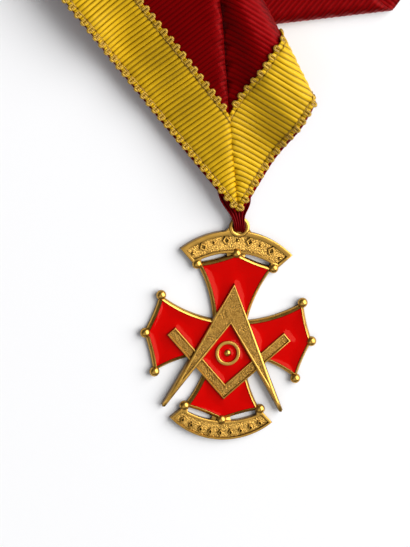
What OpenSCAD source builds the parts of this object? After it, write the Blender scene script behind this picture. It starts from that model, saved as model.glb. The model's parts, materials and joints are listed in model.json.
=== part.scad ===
// Gilt and enamelled cross medal on a folded neck ribbon, lying on a flat surface.
// Sizes are millimetres, Z is up and the surface is at Z = 0.
// X runs to the right and Y towards the top of the cross, which is turned a little.
// Outlines of the medal are drawn about the middle of the cross, as X and Y in its own plane.

/* [Cross] */
// Distance from the middle of the cross to the centre of each arm's end ball
arm_reach = 29.3; // [28.8:0.1:29.8]
// Distance from the middle out to the two corner balls of an arm
corner_reach = 24.9; // [24.5:0.1:25.3]
// Half of the arm's width, at its corner balls
corner_half = 13.4; // [13:0.1:13.8]
// Distance of the corner between two arms from both middle lines
crotch = 6; // [5.8:0.1:6.2]
// Depth of the hollow curve along the sides of an arm
side_hollow = 1.2; // [0.8:0.1:1.5]
// Depth of the hollow curve along the ends of an arm
end_hollow = 0.45; // [0.3:0.05:0.6]
// Width of the raised rim round the enamel
rim_w = 1.25; // [1.1:0.05:1.4]
// Radius of the twelve balls
ball_r = 1.55; // [1.4:0.05:1.6]

/* [Heights of the casting] */
// Thickness of the plate under the enamel
plate_t = 1.2; // [1:0.1:1.4]
// Height of the enamel's surface
enamel_top_z = 1.95; // [1.7:0.05:2.1]
// Height of the rims round the enamel
rim_z = 2.3; // [2.2:0.1:2.5]
// Underside of the bars where they pass between the arms
bar_low_z = 0.8; // [0.6:0.1:1]
// Height of the square's rims
square_z = 2.9; // [2.7:0.1:3]
// Height of the compasses' rims
compass_z = 3.4; // [3.2:0.1:3.6]
// Depth of the sunk faces of the square and the compasses
face_sink = 0.4; // [0.2:0.05:0.5]
// Clearance between the enamel and the metal round it
enamel_gap = 0.06; // [0.04:0.01:0.1]

/* [Compasses and square] */
// Height of the compasses' top point above the middle of the cross
apex_y = 18.4; // [18:0.1:18.8]
// Height of the inner corner below that point
joint_y = 4.7; // [4.4:0.1:5]
// Distance of a leg's tip to the side
leg_x = 20.7; // [20.4:0.1:21]
// Distance of a leg's tip below the middle
leg_y = 24.9; // [24.5:0.1:25.3]
// Width of the blunt end of a leg
leg_tip_w = 0.9; // [0.7:0.1:1.1]
// Distance of the square's inner corner below the middle
square_y = 16.3; // [16:0.1:16.6]
// Length of the square's arms along their inner edge
square_len = 26.7; // [26:0.1:27]
// Width of the square's arms
square_w = 3.8; // [3.6:0.1:4]
// Width of the thin rims on both
face_rim = 0.45; // [0.4:0.05:0.5]
// Outer radius of the ring between them
ring_r = 4.3; // [4:0.1:4.5]
// Width of that ring
ring_w = 1.15; // [1:0.05:1.3]
// Radius of the boss inside it
boss_r = 1.2; // [1:0.1:1.4]
// Distance of the ring below the middle
ring_y = 5.5; // [5.3:0.1:5.7]

/* [Scrolls and eye] */
// Radius of the top scroll's outer edge
top_outer_r = 27.9; // [27.7:0.1:28.1]
// Radius of the top scroll's inner edge
top_inner_r = 23.8; // [23.6:0.1:24]
// Radius of the bottom scroll's outer edge
low_outer_r = 27.2; // [27:0.1:27.4]
// Radius of the bottom scroll's inner edge
low_inner_r = 24; // [23.8:0.1:24.2]
// Height of the sunk floor of both scrolls
scroll_floor_z = 1.7; // [1.5:0.1:1.8]
// Height of the rims and marks of both scrolls
scroll_z = 2.5; // [2.4:0.1:2.6]
// Nearest place of a slot to the middle line
slot_from = 4.1; // [3.9:0.1:4.3]
// Farthest place of a slot from the middle line
slot_to = 12; // [11.8:0.1:12.2]
// Height of the eye's centre above the middle of the cross
eye_y = 38.1; // [38:0.1:38.3]
// Outer radius of the eye
eye_r = 3.6; // [3.5:0.05:3.7]
// Radius of the hole in the eye
eye_hole_r = 2; // [1.95:0.05:2.05]
// Underside of the eye, which leaves room for the cloth below it
eye_low_z = 1.35; // [1.3:0.05:1.4]
// Top of the eye
eye_top_z = 2.95; // [2.9:0.05:3]

/* [Ribbon] */
// Width of the ribbon
ribbon_w = 50; // [49:0.5:51]
// Thickness of the ribbon's cloth
ribbon_t = 1; // [0.8:0.1:1]
// Width of the trim along the outer edge
trim_w = 20.8; // [20:0.1:21.5]
// Thickness of the trim's cloth
trim_t = 1; // [0.8:0.1:1]
// Clearance between the trim and the ribbon
trim_gap = 0.05; // [0.03:0.01:0.06]
// Share of its width that the left run takes up in plan at the mitre, where it arches
mitre_share = 0.87; // [0.85:0.01:0.9]
// Thickness of the gathered loop's two layers
loop_t = 1; // [0.8:0.1:1]

/* [Hidden] */
$fn = 96;

// Place of the cross from the middle of the whole laid-out piece, and its turn
cross_x = 29.2;
cross_y = -106.9;
cross_turn = -4.2;

// Cutting depth that is sure to pass through a face
through = 1;
// Top of the ring and the boss
ring_z = rim_z + 0.4;
// Distance of the balls' centres outside the corners of the arms, and their clearance below
ball_out = 0.3;
ball_lift = 0.02;

// Points on the outlines of the medal, for the side to the right
arm_corner = [corner_half, corner_reach];
arm_crotch = [crotch, crotch];
arm_point = [0, arm_reach];
leg_end_out = [leg_x, leg_tip_w / 2 - leg_y];
leg_end_in = [leg_x - leg_tip_w, -leg_y - leg_tip_w / 4];
square_out_y = -square_y - square_w * sqrt(2);
square_end = [square_len, square_len] / sqrt(2) + [0, -square_y];
square_end_out = square_end + [square_w, -square_w] / sqrt(2);

// Scrolls: outer corner and foot, with the end running between them
top_corner = [19.4, 29.5];
top_foot = [14.2, 24.3];
low_corner = [17.9, 29];
low_foot = [13, 24.4];
top_rim = 1.7;
low_rim = 0.8;
scroll_edge_rim = 0.7;
top_inner_y = 30.8;
low_inner_y = 31.3;

// Rows of raised marks on the scrolls, as seen with each scroll above the middle.
// Columns: Y of the row's centre, its radius, first angle, step and number of marks.
TOP_LOZENGES = [9.4, 24.2, -29.1, 19.4, 4];
TOP_DOTS = [9.4, 24, -38.8, 19.4, 5];
LOW_LOZENGES = [8.5, 24.95, -32.8, 8.2, 9];
dot_r = 0.5;

// Eye's foot: half width and height where it meets the scroll, and how far in it meets the ring
eye_foot_half = 5;
eye_foot_y = 36.2;
eye_foot_in = 0.3;

// Loop of the ribbon as seven straight runs between folds, each starting at one corner of its
// outer edge. The runs lie face up and face down in turn, and the first starts at the mitre.
// Columns: corner's X and Y from the middle of the cross, lift of the cloth's middle at the
// start on the outer and inner edge, place along the run of a third lift with its two values,
// and the lifts at the end.
RUNS = [
    [1.6, 43.8, 5.4, 15.8, 0.5, 9.5, 16.4, 17.3, 17.9],
    [25, 83.4, 11.9, 11.9, 0.5, 11.9, 11.9, 11.9, 11.9],
    [5.8, 84.7, 8.3, 8.3, 0.5, 8.3, 8.3, 8.3, 8.3],
    [5.8, 205, 6.3, 6.3, 0.5, 6.3, 6.3, 6.3, 6.3],
    [60.3, 205, 0.5, 0.5, 0.5, 0.5, 0.5, 0.5, 0.5],
    [-13.5, 102.3, 4.1, 4.1, 0.5, 3.6, 3.6, 1.65, 1.65],
    [-142.4, 214.1, 3.9, 3.9, 0.5, 10.9, 13.2, 5.4, 15.8]
];
START_OUT = 2;
START_IN = 3;
MID_AT = 4;
MID_OUT = 5;
MID_IN = 6;
END_OUT = 7;
END_IN = 8;
// How late the cloth climbs from its outer edge to its inner one
steepness = 1.6;
run_steps = [14, 3, 3, 3, 3, 4, 15];
// How far the first run's climb is drawn together, the shares of the run between which at the
// outer edge, and how much earlier they come at the inner edge
climb_ease = 0.8;
climb_within = [0.42, 0.88];
climb_early = [0.84, 0.45];
// How far the last run's outer edge sinks beside the layers under it, the shares of the run
// between which it goes down and comes up, and the shares across it between which that ends
droop = 5.4;
droop_down = [0.62, 0.74];
droop_up = [1, 0.8];
droop_across = [0.5, 0];
roll_angles = [-90, -60, -30, 0, 30, 60, 90];
trim_share = trim_w / ribbon_w;
trim_across = [0, trim_share / 2, trim_share];
ribbon_across = concat(trim_across, [for (k = [1:3]) trim_share + (1 - trim_share) * k / 3]);

// Gathered loop in plan, in the medal's own plane. Columns: Y, then X on the left and the right.
LOOP_SIDES = [[36, -1.7, 1.7], [38.5, -1.7, 1.7], [41.7, -3.6, 1.4], [47.3, -8, 3.3], [55, -11, 6.8]];
// Gathered loop from the side, in Y and Z: nearest end, the eye's far side, and the far end
loop_low_z = 0.08;
loop_near_y = 37.2;
loop_back_y = 43.4;
loop_far_y = 54;
loop_over_z = 3.3;
loop_far_z = 4.2;

// Outlines

function unit(v) = v / norm(v);
function right_of(v) = [v[1], -v[0]];
function mirrored(points) = [for (k = [len(points) - 1:-1:0]) [-points[k][0], points[k][1]]];

// Outline with every edge moved outwards by g, for points in counterclockwise order
function grown(points, g) = [for (k = [0:len(points) - 1])
    let (
        last = points[(k + len(points) - 1) % len(points)],
        here = points[k],
        next = points[(k + 1) % len(points)],
        n1 = right_of(unit(here - last)),
        n2 = right_of(unit(next - here))
    )
    here + g * (n1 + n2) / (1 + n1 * n2)];

apex = [0, apex_y];
joint = [0, joint_y];
leg_half = [joint, leg_end_in, leg_end_out, apex];
compass_outline = concat(leg_half, mirrored([leg_end_in, leg_end_out]));
compass_face = [apex, [-leg_x, -leg_y], joint, [leg_x, -leg_y]];
compass_filled = [apex, [-leg_end_out[0], leg_end_out[1]], leg_end_out];
square_half = [[0, square_out_y], square_end_out, square_end];
square_outline = concat(square_half, [[0, -square_y]], mirrored([square_end_out, square_end]));
square_filled = concat(square_half, mirrored([square_end_out, square_end]));
leg_slope = (joint_y - leg_end_in[1]) / leg_end_in[0];
diamond_x = (joint_y + square_y) / (1 + leg_slope);
diamond = [[0, joint_y], [-diamond_x, diamond_x - square_y], [0, -square_y],
    [diamond_x, diamond_x - square_y]];

// Circle that hollows the edge from a to b, on the right of that direction, grown by g
module hollow_cut(a, b, sag, g) {
    half = norm(b - a) / 2;
    r = (half * half + sag * sag) / (2 * sag);
    translate((a + b) / 2 + right_of(unit(b - a)) * (r - sag)) circle(r = r + g);
}

// Arm that points along +Y, with its edges moved in by g
module arm_outline(g) {
    difference() {
        polygon([[0, 0], arm_crotch, arm_corner, arm_point,
            [-corner_half, corner_reach], [-crotch, crotch]]);
        for (side = [0, 1]) mirror([side, 0]) {
            hollow_cut(arm_crotch, arm_corner, side_hollow, g);
            hollow_cut(arm_corner, arm_point, end_hollow, g);
        }
    }
}

module arms_outline(g) {
    for (turn = [0:3]) rotate(90 * turn) arm_outline(g);
}

module slab(z0, z1) {
    translate([0, 0, z0]) linear_extrude(z1 - z0) children();
}

// Raised figure with a sunk face inside a thin rim
module rimmed_bar(outline, face, top) {
    difference() {
        slab(bar_low_z, top) polygon(outline);
        slab(top - face_sink, top + through) polygon(grown(face, -face_rim));
    }
}

// Outline of a scroll that lies above the middle, with its outer edge moved in by g
module scroll_outline(corner, foot, outer_r, g) {
    rise = unit(corner - foot);
    wedge = concat([[0, foot[1]], foot, foot + rise * 16], mirrored([foot, foot + rise * 16]));
    centre_y = corner[1] - sqrt(outer_r * outer_r - corner[0] * corner[0]);
    intersection() {
        translate([0, centre_y]) circle(r = outer_r - g);
        polygon(grown(wedge, -min(g, scroll_edge_rim)));
    }
}

// Scroll plate with its two slots and its sunk floor
module scroll(corner, foot, outer_r, inner_r, inner_y, rim) {
    difference() {
        slab(0, scroll_z) scroll_outline(corner, foot, outer_r, 0);
        slab(-through, scroll_z + through) arm_outline(rim_w / 2);
        for (side = [0, 1]) mirror([side, 0, 0]) slab(-through, scroll_z + through) intersection() {
            translate([0, inner_y - inner_r]) circle(r = inner_r);
            translate([slot_from, 0]) square([slot_to - slot_from, inner_y]);
        }
        slab(scroll_floor_z, scroll_z + through) difference() {
            scroll_outline(corner, foot, outer_r, rim);
            translate([0, inner_y - inner_r]) circle(r = inner_r + scroll_edge_rim);
        }
    }
}

module lozenge(w, h) {
    slab(plate_t, scroll_z) difference() {
        polygon([[0, h / 2], [-w / 2, 0], [0, -h / 2], [w / 2, 0]]);
        polygon([[0, h / 4], [-w / 4, 0], [0, -h / 4], [w / 4, 0]]);
    }
}

// Row of children along an arc about a point on the middle line
module along_arc(row) {
    for (k = [0:row[4] - 1])
        translate([0, row[0]]) rotate(row[2] + row[3] * k) translate([0, row[1]]) children();
}

module placed() {
    translate([cross_x, cross_y]) rotate(cross_turn) children();
}

// Casting

module balls() {
    for (turn = [0:3], p = [arm_point, arm_corner, [-corner_half, corner_reach]]) {
        centre = p + unit(p) * ball_out;
        rotate(90 * turn) translate([centre[0], centre[1], ball_r + ball_lift]) sphere(r = ball_r);
    }
}

module eye() {
    eye_foot = [[eye_foot_half, eye_foot_y], [eye_r - eye_foot_in, eye_y]];
    difference() {
        union() {
            translate([0, eye_y, eye_low_z]) cylinder(r = eye_r, h = eye_top_z - eye_low_z);
            slab(eye_low_z, scroll_z) polygon(concat(eye_foot, mirrored(eye_foot)));
        }
        translate([0, eye_y, -through]) cylinder(r = eye_hole_r, h = eye_top_z + 2 * through);
    }
}

module top_scroll() {
    difference() {
        scroll(top_corner, top_foot, top_outer_r, top_inner_r, top_inner_y, top_rim);
        translate([0, eye_y, -through]) cylinder(r = eye_hole_r, h = scroll_z + 2 * through);
    }
    along_arc(TOP_LOZENGES) lozenge(2.9, 3.3);
    along_arc(TOP_DOTS) translate([0, 0, plate_t]) cylinder(r = dot_r, h = scroll_z - plate_t);
}

module low_scroll() {
    rotate(180) {
        scroll(low_corner, low_foot, low_outer_r, low_inner_r, low_inner_y, low_rim);
        along_arc(LOW_LOZENGES) lozenge(1.7, 2.4);
    }
}

module cross_body() {
    difference() {
        union() {
            slab(0, rim_z) arms_outline(0);
            slab(0, plate_t) polygon(diamond);
        }
        slab(plate_t, rim_z + through) arms_outline(rim_w);
        slab(plate_t, rim_z + through) polygon(diamond);
    }
}

module cross_medal() {
    color("goldenrod") placed() {
        cross_body();
        rimmed_bar(square_outline, square_outline, square_z);
        rimmed_bar(compass_outline, compass_face, compass_z);
        translate([0, -ring_y]) slab(bar_low_z, ring_z) difference() {
            circle(r = ring_r);
            circle(r = ring_r - ring_w);
        }
        translate([0, -ring_y]) slab(bar_low_z, ring_z) circle(r = boss_r);
        balls();
        top_scroll();
        low_scroll();
        eye();
    }
}

// Enamel

module enamel(turn) {
    color("crimson") placed() slab(plate_t + enamel_gap, enamel_top_z) difference() {
        rotate(90 * turn) arm_outline(rim_w + enamel_gap);
        if (turn == 2) {
            polygon(grown(square_filled, enamel_gap));
        } else {
            polygon(grown(compass_filled, enamel_gap));
            polygon(grown(square_outline, enamel_gap));
        }
    }
}

module enamel_top() enamel(0);
module enamel_left() enamel(1);
module enamel_bottom() enamel(2);
module enamel_right() enamel(3);

module enamel_centre() {
    color("crimson") placed() slab(plate_t + enamel_gap, enamel_top_z) difference() {
        polygon(grown(diamond, -enamel_gap));
        translate([0, -ring_y]) circle(r = ring_r + enamel_gap);
    }
}

module enamel_ring() {
    color("crimson") placed() translate([0, -ring_y]) slab(plate_t + enamel_gap, enamel_top_z) difference() {
        circle(r = ring_r - ring_w - enamel_gap);
        circle(r = boss_r + enamel_gap);
    }
}

// Ribbon

runs = len(RUNS);
function corner(i) = [RUNS[i % runs][0], RUNS[i % runs][1]];
function along(i) = unit(corner(i + 1) - corner(i));
function face(i) = (i % runs) % 2 == 0 ? 1 : -1;
function inwards(i) = -face(i) * right_of(along(i));

// Line of a fold, or of the mitre, from the outer edge (t = 0) to the inner one (t = 1)
function fold_span(i) = let (
        a = inwards(i + runs - 1),
        b = inwards(i),
        share = i % runs == 0 ? mitre_share : 1
    )
    ribbon_w * [share * b[1] - a[1], a[0] - share * b[0]] / cross(a, b);
function fold_at(i, t) = corner(i) + fold_span(i) * t;
function fold_slant(i) = abs(cross(along(i), unit(fold_span(i))));

function third(start, at, mid, end, f) = start * (f - at) * (f - 1) / at
    + mid * f * (f - 1) / (at * (at - 1)) + end * f * (f - at) / (1 - at);

// Share that goes evenly from 0 to 1 between two places
function even_step(ends, x) = let (s = min(max((x - ends[0]) / (ends[1] - ends[0]), 0), 1)) s * s * (3 - 2 * s);
function climb_ends(t) = [for (k = [0:1]) max(0, climb_within[k] - climb_early[k] * t)];
function eased(i, f, t) = i % runs == 0 ? f + climb_ease * (even_step(climb_ends(t), f) - f) : f;
function sunk(i, f) = i % runs == runs - 1 ? droop * even_step(droop_down, f) * even_step(droop_up, f) : 0;

// Lift of the cloth's middle at share f along run i and share t across it
function lift(i, f, t) = let (
        r = RUNS[i],
        at = eased(i, f, t),
        low = third(r[START_OUT], r[MID_AT], r[MID_OUT], r[END_OUT], at),
        high = third(r[START_IN], r[MID_AT], r[MID_IN], r[END_IN], at)
    )
    low + (high - low) * pow(sin(90 * t), steepness) - sunk(i, f) * even_step(droop_across, t);

// A fold is a half round between the lifts of the two runs, and the mitre has none
function rise(i, t) = i % runs == 0 ? 0 : lift(i, 0, t) - lift(i - 1, 1, t);
function roll_r(i, t) = abs(rise(i, t)) / 2;
function roll_reach(i, t) = roll_r(i, t) * PI / 2;

// Place and face direction of the cloth's middle on a run
function run_spot(i, f, t) = let (
        from = fold_at(i, t) + along(i) * roll_reach(i, t) / fold_slant(i),
        j = (i + 1) % runs,
        to = fold_at(j, t) - along(i) * roll_reach(j, t) / fold_slant(j),
        spot = from + (to - from) * f
    )
    [[spot[0], spot[1], lift(i, f, t)], [0, 0, face(i)]];

// The same on the half round of fold i, at an angle from -90 where the earlier run ends
function roll_spot(i, angle, t) = let (
        r = roll_r(i, t),
        up = sign(rise(i, t)),
        gone = r * abs(angle) * PI / 180,
        inside = unit(along(i) - along(i - 1)),
        step = (angle < 0 ? -along(i - 1) : along(i)) * gone / fold_slant(i),
        spot = fold_at(i, t) + step + inside * (roll_reach(i, t) - r * cos(angle) - gone),
        z = (lift(i, 0, t) + lift(i - 1, 1, t)) / 2 + up * r * sin(angle),
        out = [-inside[0] * cos(angle), -inside[1] * cos(angle), up * sin(angle)]
    )
    [[spot[0], spot[1], z], out * -up * face(i - 1)];

// Stations round the loop, as run, share along it, and angle of its first fold
stations = [for (i = [0:runs - 1]) each concat(
    i == 0 ? [[0, 0, undef]] : [for (a = roll_angles) [i, 0, a]],
    [for (k = [1:run_steps[i] - 1]) [i, k / run_steps[i], undef]])];
function spot(s, t) = s[2] == undef ? run_spot(s[0], s[1], t) : roll_spot(s[0], s[2], t);

// Cloth between two distances from its middle, at the given shares across. Both its sides are
// cut into triangles the same way, so that the trim lies true on the ribbon
module cloth(across, low, high) {
    ring = 2 * len(across);
    rows = len(stations);
    points = [for (s = stations) each concat(
        [for (t = across) let (p = spot(s, t)) p[0] + p[1] * low],
        [for (k = [len(across) - 1:-1:0]) let (p = spot(s, across[k])) p[0] + p[1] * high])];
    faces = [for (row = [0:rows - 1], k = [0:ring - 1])
        let (
            a = row * ring + k,
            b = row * ring + (k + 1) % ring,
            c = ((row + 1) % rows) * ring + (k + 1) % ring,
            d = ((row + 1) % rows) * ring + k
        )
        each k < len(across) ? [[a, b, c], [a, c, d]] : [[a, b, d], [b, c, d]]];
    translate([cross_x, cross_y]) polyhedron(points = points, faces = faces, convexity = 12);
}

module ribbon() {
    color("firebrick") cloth(ribbon_across, -ribbon_t / 2, ribbon_t / 2);
}

module ribbon_trim() {
    color("gold") cloth(trim_across, ribbon_t / 2 + trim_gap, ribbon_t / 2 + trim_gap + trim_t);
}

// Gathered loop: it goes down through the eye, back under its rim and up again, and its upper
// layer runs on under the mitre
module ribbon_loop() {
    top_z = loop_over_z + loop_t;
    side = [[loop_near_y, loop_low_z], [loop_back_y + 0.2, loop_low_z], [loop_back_y + 1.2, 1.2],
        [loop_back_y + 1.2, loop_over_z], [loop_far_y, loop_far_z], [loop_far_y, loop_far_z + loop_t],
        [loop_back_y, top_z - 0.05], [loop_near_y + 0.8, top_z - 0.05], [loop_near_y, top_z - 0.7]];
    inside = [[loop_near_y + loop_t, loop_low_z + loop_t], [loop_back_y - 0.2, loop_low_z + loop_t],
        [loop_back_y, 1.5], [loop_back_y, loop_over_z - 0.1], [loop_near_y + loop_t, loop_over_z - 0.1]];
    left = [for (k = [len(LOOP_SIDES) - 1:-1:0]) [LOOP_SIDES[k][1], LOOP_SIDES[k][0]]];
    right = [for (row = LOOP_SIDES) [row[2], row[0]]];
    color("darkred") placed() intersection() {
        rotate([90, 0, 90]) translate([0, 0, -ribbon_w / 2]) linear_extrude(ribbon_w) difference() {
            polygon(side);
            polygon(inside);
        }
        slab(0, loop_far_z + loop_t + through) polygon(concat(right, left));
    }
}

cross_medal();
enamel_top();
enamel_left();
enamel_bottom();
enamel_right();
enamel_centre();
enamel_ring();
ribbon();
ribbon_trim();
ribbon_loop();
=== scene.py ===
"""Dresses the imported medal: a gilt and enamelled cross that hangs on a folded neck ribbon.

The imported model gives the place. Sizes here are in millimetres, in the medal's own plane or in
the ribbon's, and each finished mesh is turned to metres and put in its place in one step.
"""

import json
import logging
import math
import random
from dataclasses import dataclass
from enum import Enum, IntEnum
from functools import cached_property
from typing import Any, NamedTuple, Sequence

import bmesh
import bpy
from mathutils import Matrix, Vector


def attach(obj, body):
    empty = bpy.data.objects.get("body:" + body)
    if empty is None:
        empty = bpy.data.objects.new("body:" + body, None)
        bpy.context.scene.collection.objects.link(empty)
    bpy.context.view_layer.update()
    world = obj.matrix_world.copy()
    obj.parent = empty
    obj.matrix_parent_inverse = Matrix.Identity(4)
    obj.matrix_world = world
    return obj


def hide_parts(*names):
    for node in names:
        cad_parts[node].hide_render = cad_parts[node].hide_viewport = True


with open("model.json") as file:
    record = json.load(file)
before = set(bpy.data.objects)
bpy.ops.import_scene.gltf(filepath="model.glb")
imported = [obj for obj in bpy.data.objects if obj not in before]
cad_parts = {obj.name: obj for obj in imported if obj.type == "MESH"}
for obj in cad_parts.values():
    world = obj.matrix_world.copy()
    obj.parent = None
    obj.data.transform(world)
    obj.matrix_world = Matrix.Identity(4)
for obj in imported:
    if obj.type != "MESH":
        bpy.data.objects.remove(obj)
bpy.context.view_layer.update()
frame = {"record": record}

BODY = "root"
MM = 0.001
LOG = logging.getLogger("medal")
CLOTH_UV = "cloth"
# The rib height on each point of the cloth, which paints the ribs' light and shade: bright crests, dark
# gaps and dark stitch holes
CLOTH_SHADE = "rib_share"
# The medal lies turned a little from the picture's upright, in degrees
MEDAL_TURN = -4.2

Point = tuple[float, float]
# A start and an end
Span = tuple[float, float]
Ring = list[Vector]


# Plane geometry

def unit(v: Vector) -> Vector:
    """Returns the vector at length one."""
    return v.normalized()


def right_of(v: Vector) -> Vector:
    """Returns the plane vector turned a quarter to the right."""
    return Vector((v.y, -v.x))


def cross_2d(a: Vector, b: Vector) -> float:
    """Returns the area that two plane vectors span."""
    return a.x * b.y - a.y * b.x


def mirrored(points: Sequence[Vector]) -> list[Vector]:
    """Returns the points on the other side of the middle line, in reverse order."""
    return [Vector((-p.x, p.y)) for p in reversed(points)]


def turned(points: Sequence[Vector], degrees: float) -> list[Vector]:
    """Returns the points turned about the origin."""
    turn = Matrix.Rotation(math.radians(degrees), 2)
    return [turn @ p for p in points]


def grown(points: Sequence[Vector], by: float) -> list[Vector]:
    """Moves every edge of a closed outline outwards.

    Args:
        points: The outline, counterclockwise.
        by: The distance, less than zero for inwards.

    Returns:
        The new outline, with as many points.
    """
    moved = []
    for k, here in enumerate(points):
        n1 = right_of(unit(here - points[k - 1]))
        n2 = right_of(unit(points[(k + 1) % len(points)] - here))
        moved.append(here + (n1 + n2) * (by / (1 + n1.dot(n2))))
    return moved


def hollow_edge(a: Vector, b: Vector, sag: float, steps: int) -> list[Vector]:
    """Draws an edge that curves inwards.

    Args:
        a: The start, which is part of the result.
        b: The end, which isn't.
        sag: How deep the curve is.
        steps: How many points it gets.

    Returns:
        The points from a, along an arc whose middle lies on the right of the way from a to b.
    """
    half = (b - a).length / 2
    radius = (half * half + sag * sag) / (2 * sag)
    centre = (a + b) / 2 + right_of(unit(b - a)) * (radius - sag)
    whole = (a - centre).angle_signed(b - centre)
    return [centre + Matrix.Rotation(-whole * k / steps, 2) @ (a - centre) for k in range(steps)]


def arc(centre: Vector, radius: float, start: float, end: float, steps: int) -> list[Vector]:
    """Returns the points of an arc with both of its ends, for angles in radians."""
    angles = [start + (end - start) * k / steps for k in range(steps + 1)]
    return [centre + Vector((math.cos(a), math.sin(a))) * radius for a in angles]


def circle(centre: Vector, radius: float, steps: int) -> list[Vector]:
    """Returns the points of a whole circle, counterclockwise."""
    return arc(centre, radius, 0, math.tau, steps)[:-1]


def smooth_step(start: float, end: float, x: float) -> float:
    """Returns a share that goes evenly from 0 at the start to 1 at the end."""
    share = min(max((x - start) / (end - start), 0), 1)
    return share * share * (3 - 2 * share)


def is_inside(spot: Vector, outline: Sequence[Vector]) -> bool:
    """Tells whether a point lies inside a closed outline.

    Args:
        spot: The point.
        outline: The outline's corners in order.

    Returns:
        Whether it does.
    """
    found = False
    for k, b in enumerate(outline):
        a = outline[k - 1]
        if (a.y > spot.y) != (b.y > spot.y) and spot.x < a.x + (b.x - a.x) * (spot.y - a.y) / (b.y - a.y):
            found = not found
    return found


def distance_to(spot: Vector, outline: Sequence[Vector]) -> float:
    """Measures how far a point is from the nearest edge of a closed outline.

    Args:
        spot: The point.
        outline: The outline's corners in order.

    Returns:
        The distance.
    """
    least = math.inf
    for k, b in enumerate(outline):
        a = outline[k - 1]
        along = b - a
        share = min(max((spot - a).dot(along) / along.length_squared, 0), 1)
        least = min(least, (spot - a - along * share).length)
    return least


# Meshes

@dataclass(frozen=True)
class Place:
    """Where a piece that is drawn in millimetres goes in the frame."""

    origin: Vector
    turn: float = 0.0

    def matrix(self) -> Matrix:
        """Returns the transform from millimetres in the piece's plane to metres in the frame."""
        spin = Matrix.Rotation(math.radians(self.turn), 4, "Z")
        return Matrix.Translation(self.origin) @ spin @ Matrix.Scale(MM, 4)


def flat_ring(points: Sequence[Vector], z: float) -> Ring:
    """Lifts an outline to a height."""
    return [Vector((p.x, p.y, z)) for p in points]


def loft(mesh: bmesh.types.BMesh, rings: Sequence[Ring], side: int = 0, cap: int = 0) -> None:
    """Raises a closed body through rings that have as many points each.

    Args:
        mesh: The mesh that gets the body.
        rings: The outlines from the underside, over the edge, to the middle of the top.
        side: The material slot of the body.
        cap: The material slot of the face inside the last ring.
    """
    tag = mesh.verts.layers.int.get("corner") or mesh.verts.layers.int.new("corner")
    corners = [mesh.verts.new(p) for p in rings[0]]
    for k, corner in enumerate(corners):
        corner[tag] = k
    face = mesh.faces.new(corners)
    face.material_index = side
    for ring in rings[1:]:
        made = bmesh.ops.extrude_face_region(mesh, geom=[face, *face.edges])["geom"]
        face = next(g for g in made if isinstance(g, bmesh.types.BMFace))
        for corner in face.verts:
            corner.co = ring[corner[tag]]
    face.material_index = cap


def turned_body(mesh: bmesh.types.BMesh, profile: Sequence[Point], centre: Vector, steps: int) -> None:
    """Spins a closed profile round an upright axis.

    Args:
        mesh: The mesh that gets the body.
        profile: The radius and the height of each corner, in order.
        centre: Where the axis stands in the plane.
        steps: How many steps the whole turn has.
    """
    axis = Vector((centre.x, centre.y, 0))
    corners = [mesh.verts.new(axis + Vector((r, 0, z))) for r, z in profile]
    edges = [mesh.edges.new((corners[k - 1], corners[k])) for k in range(len(corners))]
    bmesh.ops.spin(mesh, geom=corners + edges, cent=axis, axis=(0, 0, 1), angle=math.tau,
                   steps=steps, use_merge=True)


def add_part(mesh: bmesh.types.BMesh, part: bmesh.types.BMesh) -> None:
    """Adds a part that was built by itself, and frees it.

    Args:
        mesh: The mesh that gets it.
        part: The part.
    """
    data = bpy.data.meshes.new("part")
    part.to_mesh(data)
    part.free()
    mesh.from_mesh(data)
    bpy.data.meshes.remove(data)


def finished(mesh: bmesh.types.BMesh, name: str, place: Place, finishes: Sequence["Finish"],
             crease: float = 40.0) -> bpy.types.Object:
    """Makes an object of a mesh that is drawn in millimetres.

    Args:
        mesh: The mesh, which is freed.
        name: The piece's name.
        place: Where it goes.
        finishes: The finish of each material slot.
        crease: The angle in degrees from which an edge stays sharp.

    Returns:
        The object, at the origin with its place in its mesh, riding on the body.
    """
    bmesh.ops.transform(mesh, matrix=place.matrix(), verts=mesh.verts)
    for face in mesh.faces:
        face.smooth = True
    data = bpy.data.meshes.new(name)
    mesh.to_mesh(data)
    mesh.free()
    data.set_sharp_from_angle(angle=math.radians(crease))
    piece = bpy.data.objects.new(name, data)
    bpy.context.scene.collection.objects.link(piece)
    for finish in finishes:
        data.materials.append(finish.material())
    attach(piece, BODY)
    return piece


def give_wall(piece: bpy.types.Object, thickness: float) -> None:
    """Thickens a sheet on both sides.

    Args:
        piece: The piece whose mesh is the middle of the sheet.
        thickness: The whole thickness in millimetres.
    """
    wall = piece.modifiers.new("thickness", "SOLIDIFY")
    wall.thickness = thickness * MM
    wall.offset = 0


# Materials

def linear(code: str) -> tuple[float, float, float, float]:
    """Turns an sRGB colour to linear.

    Args:
        code: Its six hex digits, such as "E8B84A".

    Returns:
        Linear red, green and blue, and an alpha of one.
    """
    parts = [int(code[k:k + 2], 16) / 255 for k in (0, 2, 4)]
    red, green, blue = (c / 12.92 if c <= 0.04045 else ((c + 0.055) / 1.055) ** 2.4 for c in parts)
    return red, green, blue, 1.0


def add_node(tree: bpy.types.NodeTree, kind: str, links: dict[str | int, Any] | None = None,
             **settings: Any) -> bpy.types.Node:
    """Adds one node.

    Args:
        tree: The tree that gets it.
        kind: The node's type.
        links: For each input, the value or the output socket that it takes.
        **settings: The node's own settings.

    Returns:
        The node.
    """
    node = tree.nodes.new(kind)
    for name, value in settings.items():
        setattr(node, name, value)
    for name, value in (links or {}).items():
        if isinstance(value, bpy.types.NodeSocket):
            tree.links.new(value, node.inputs[name])
        else:
            node.inputs[name].default_value = value
    return node


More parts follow.
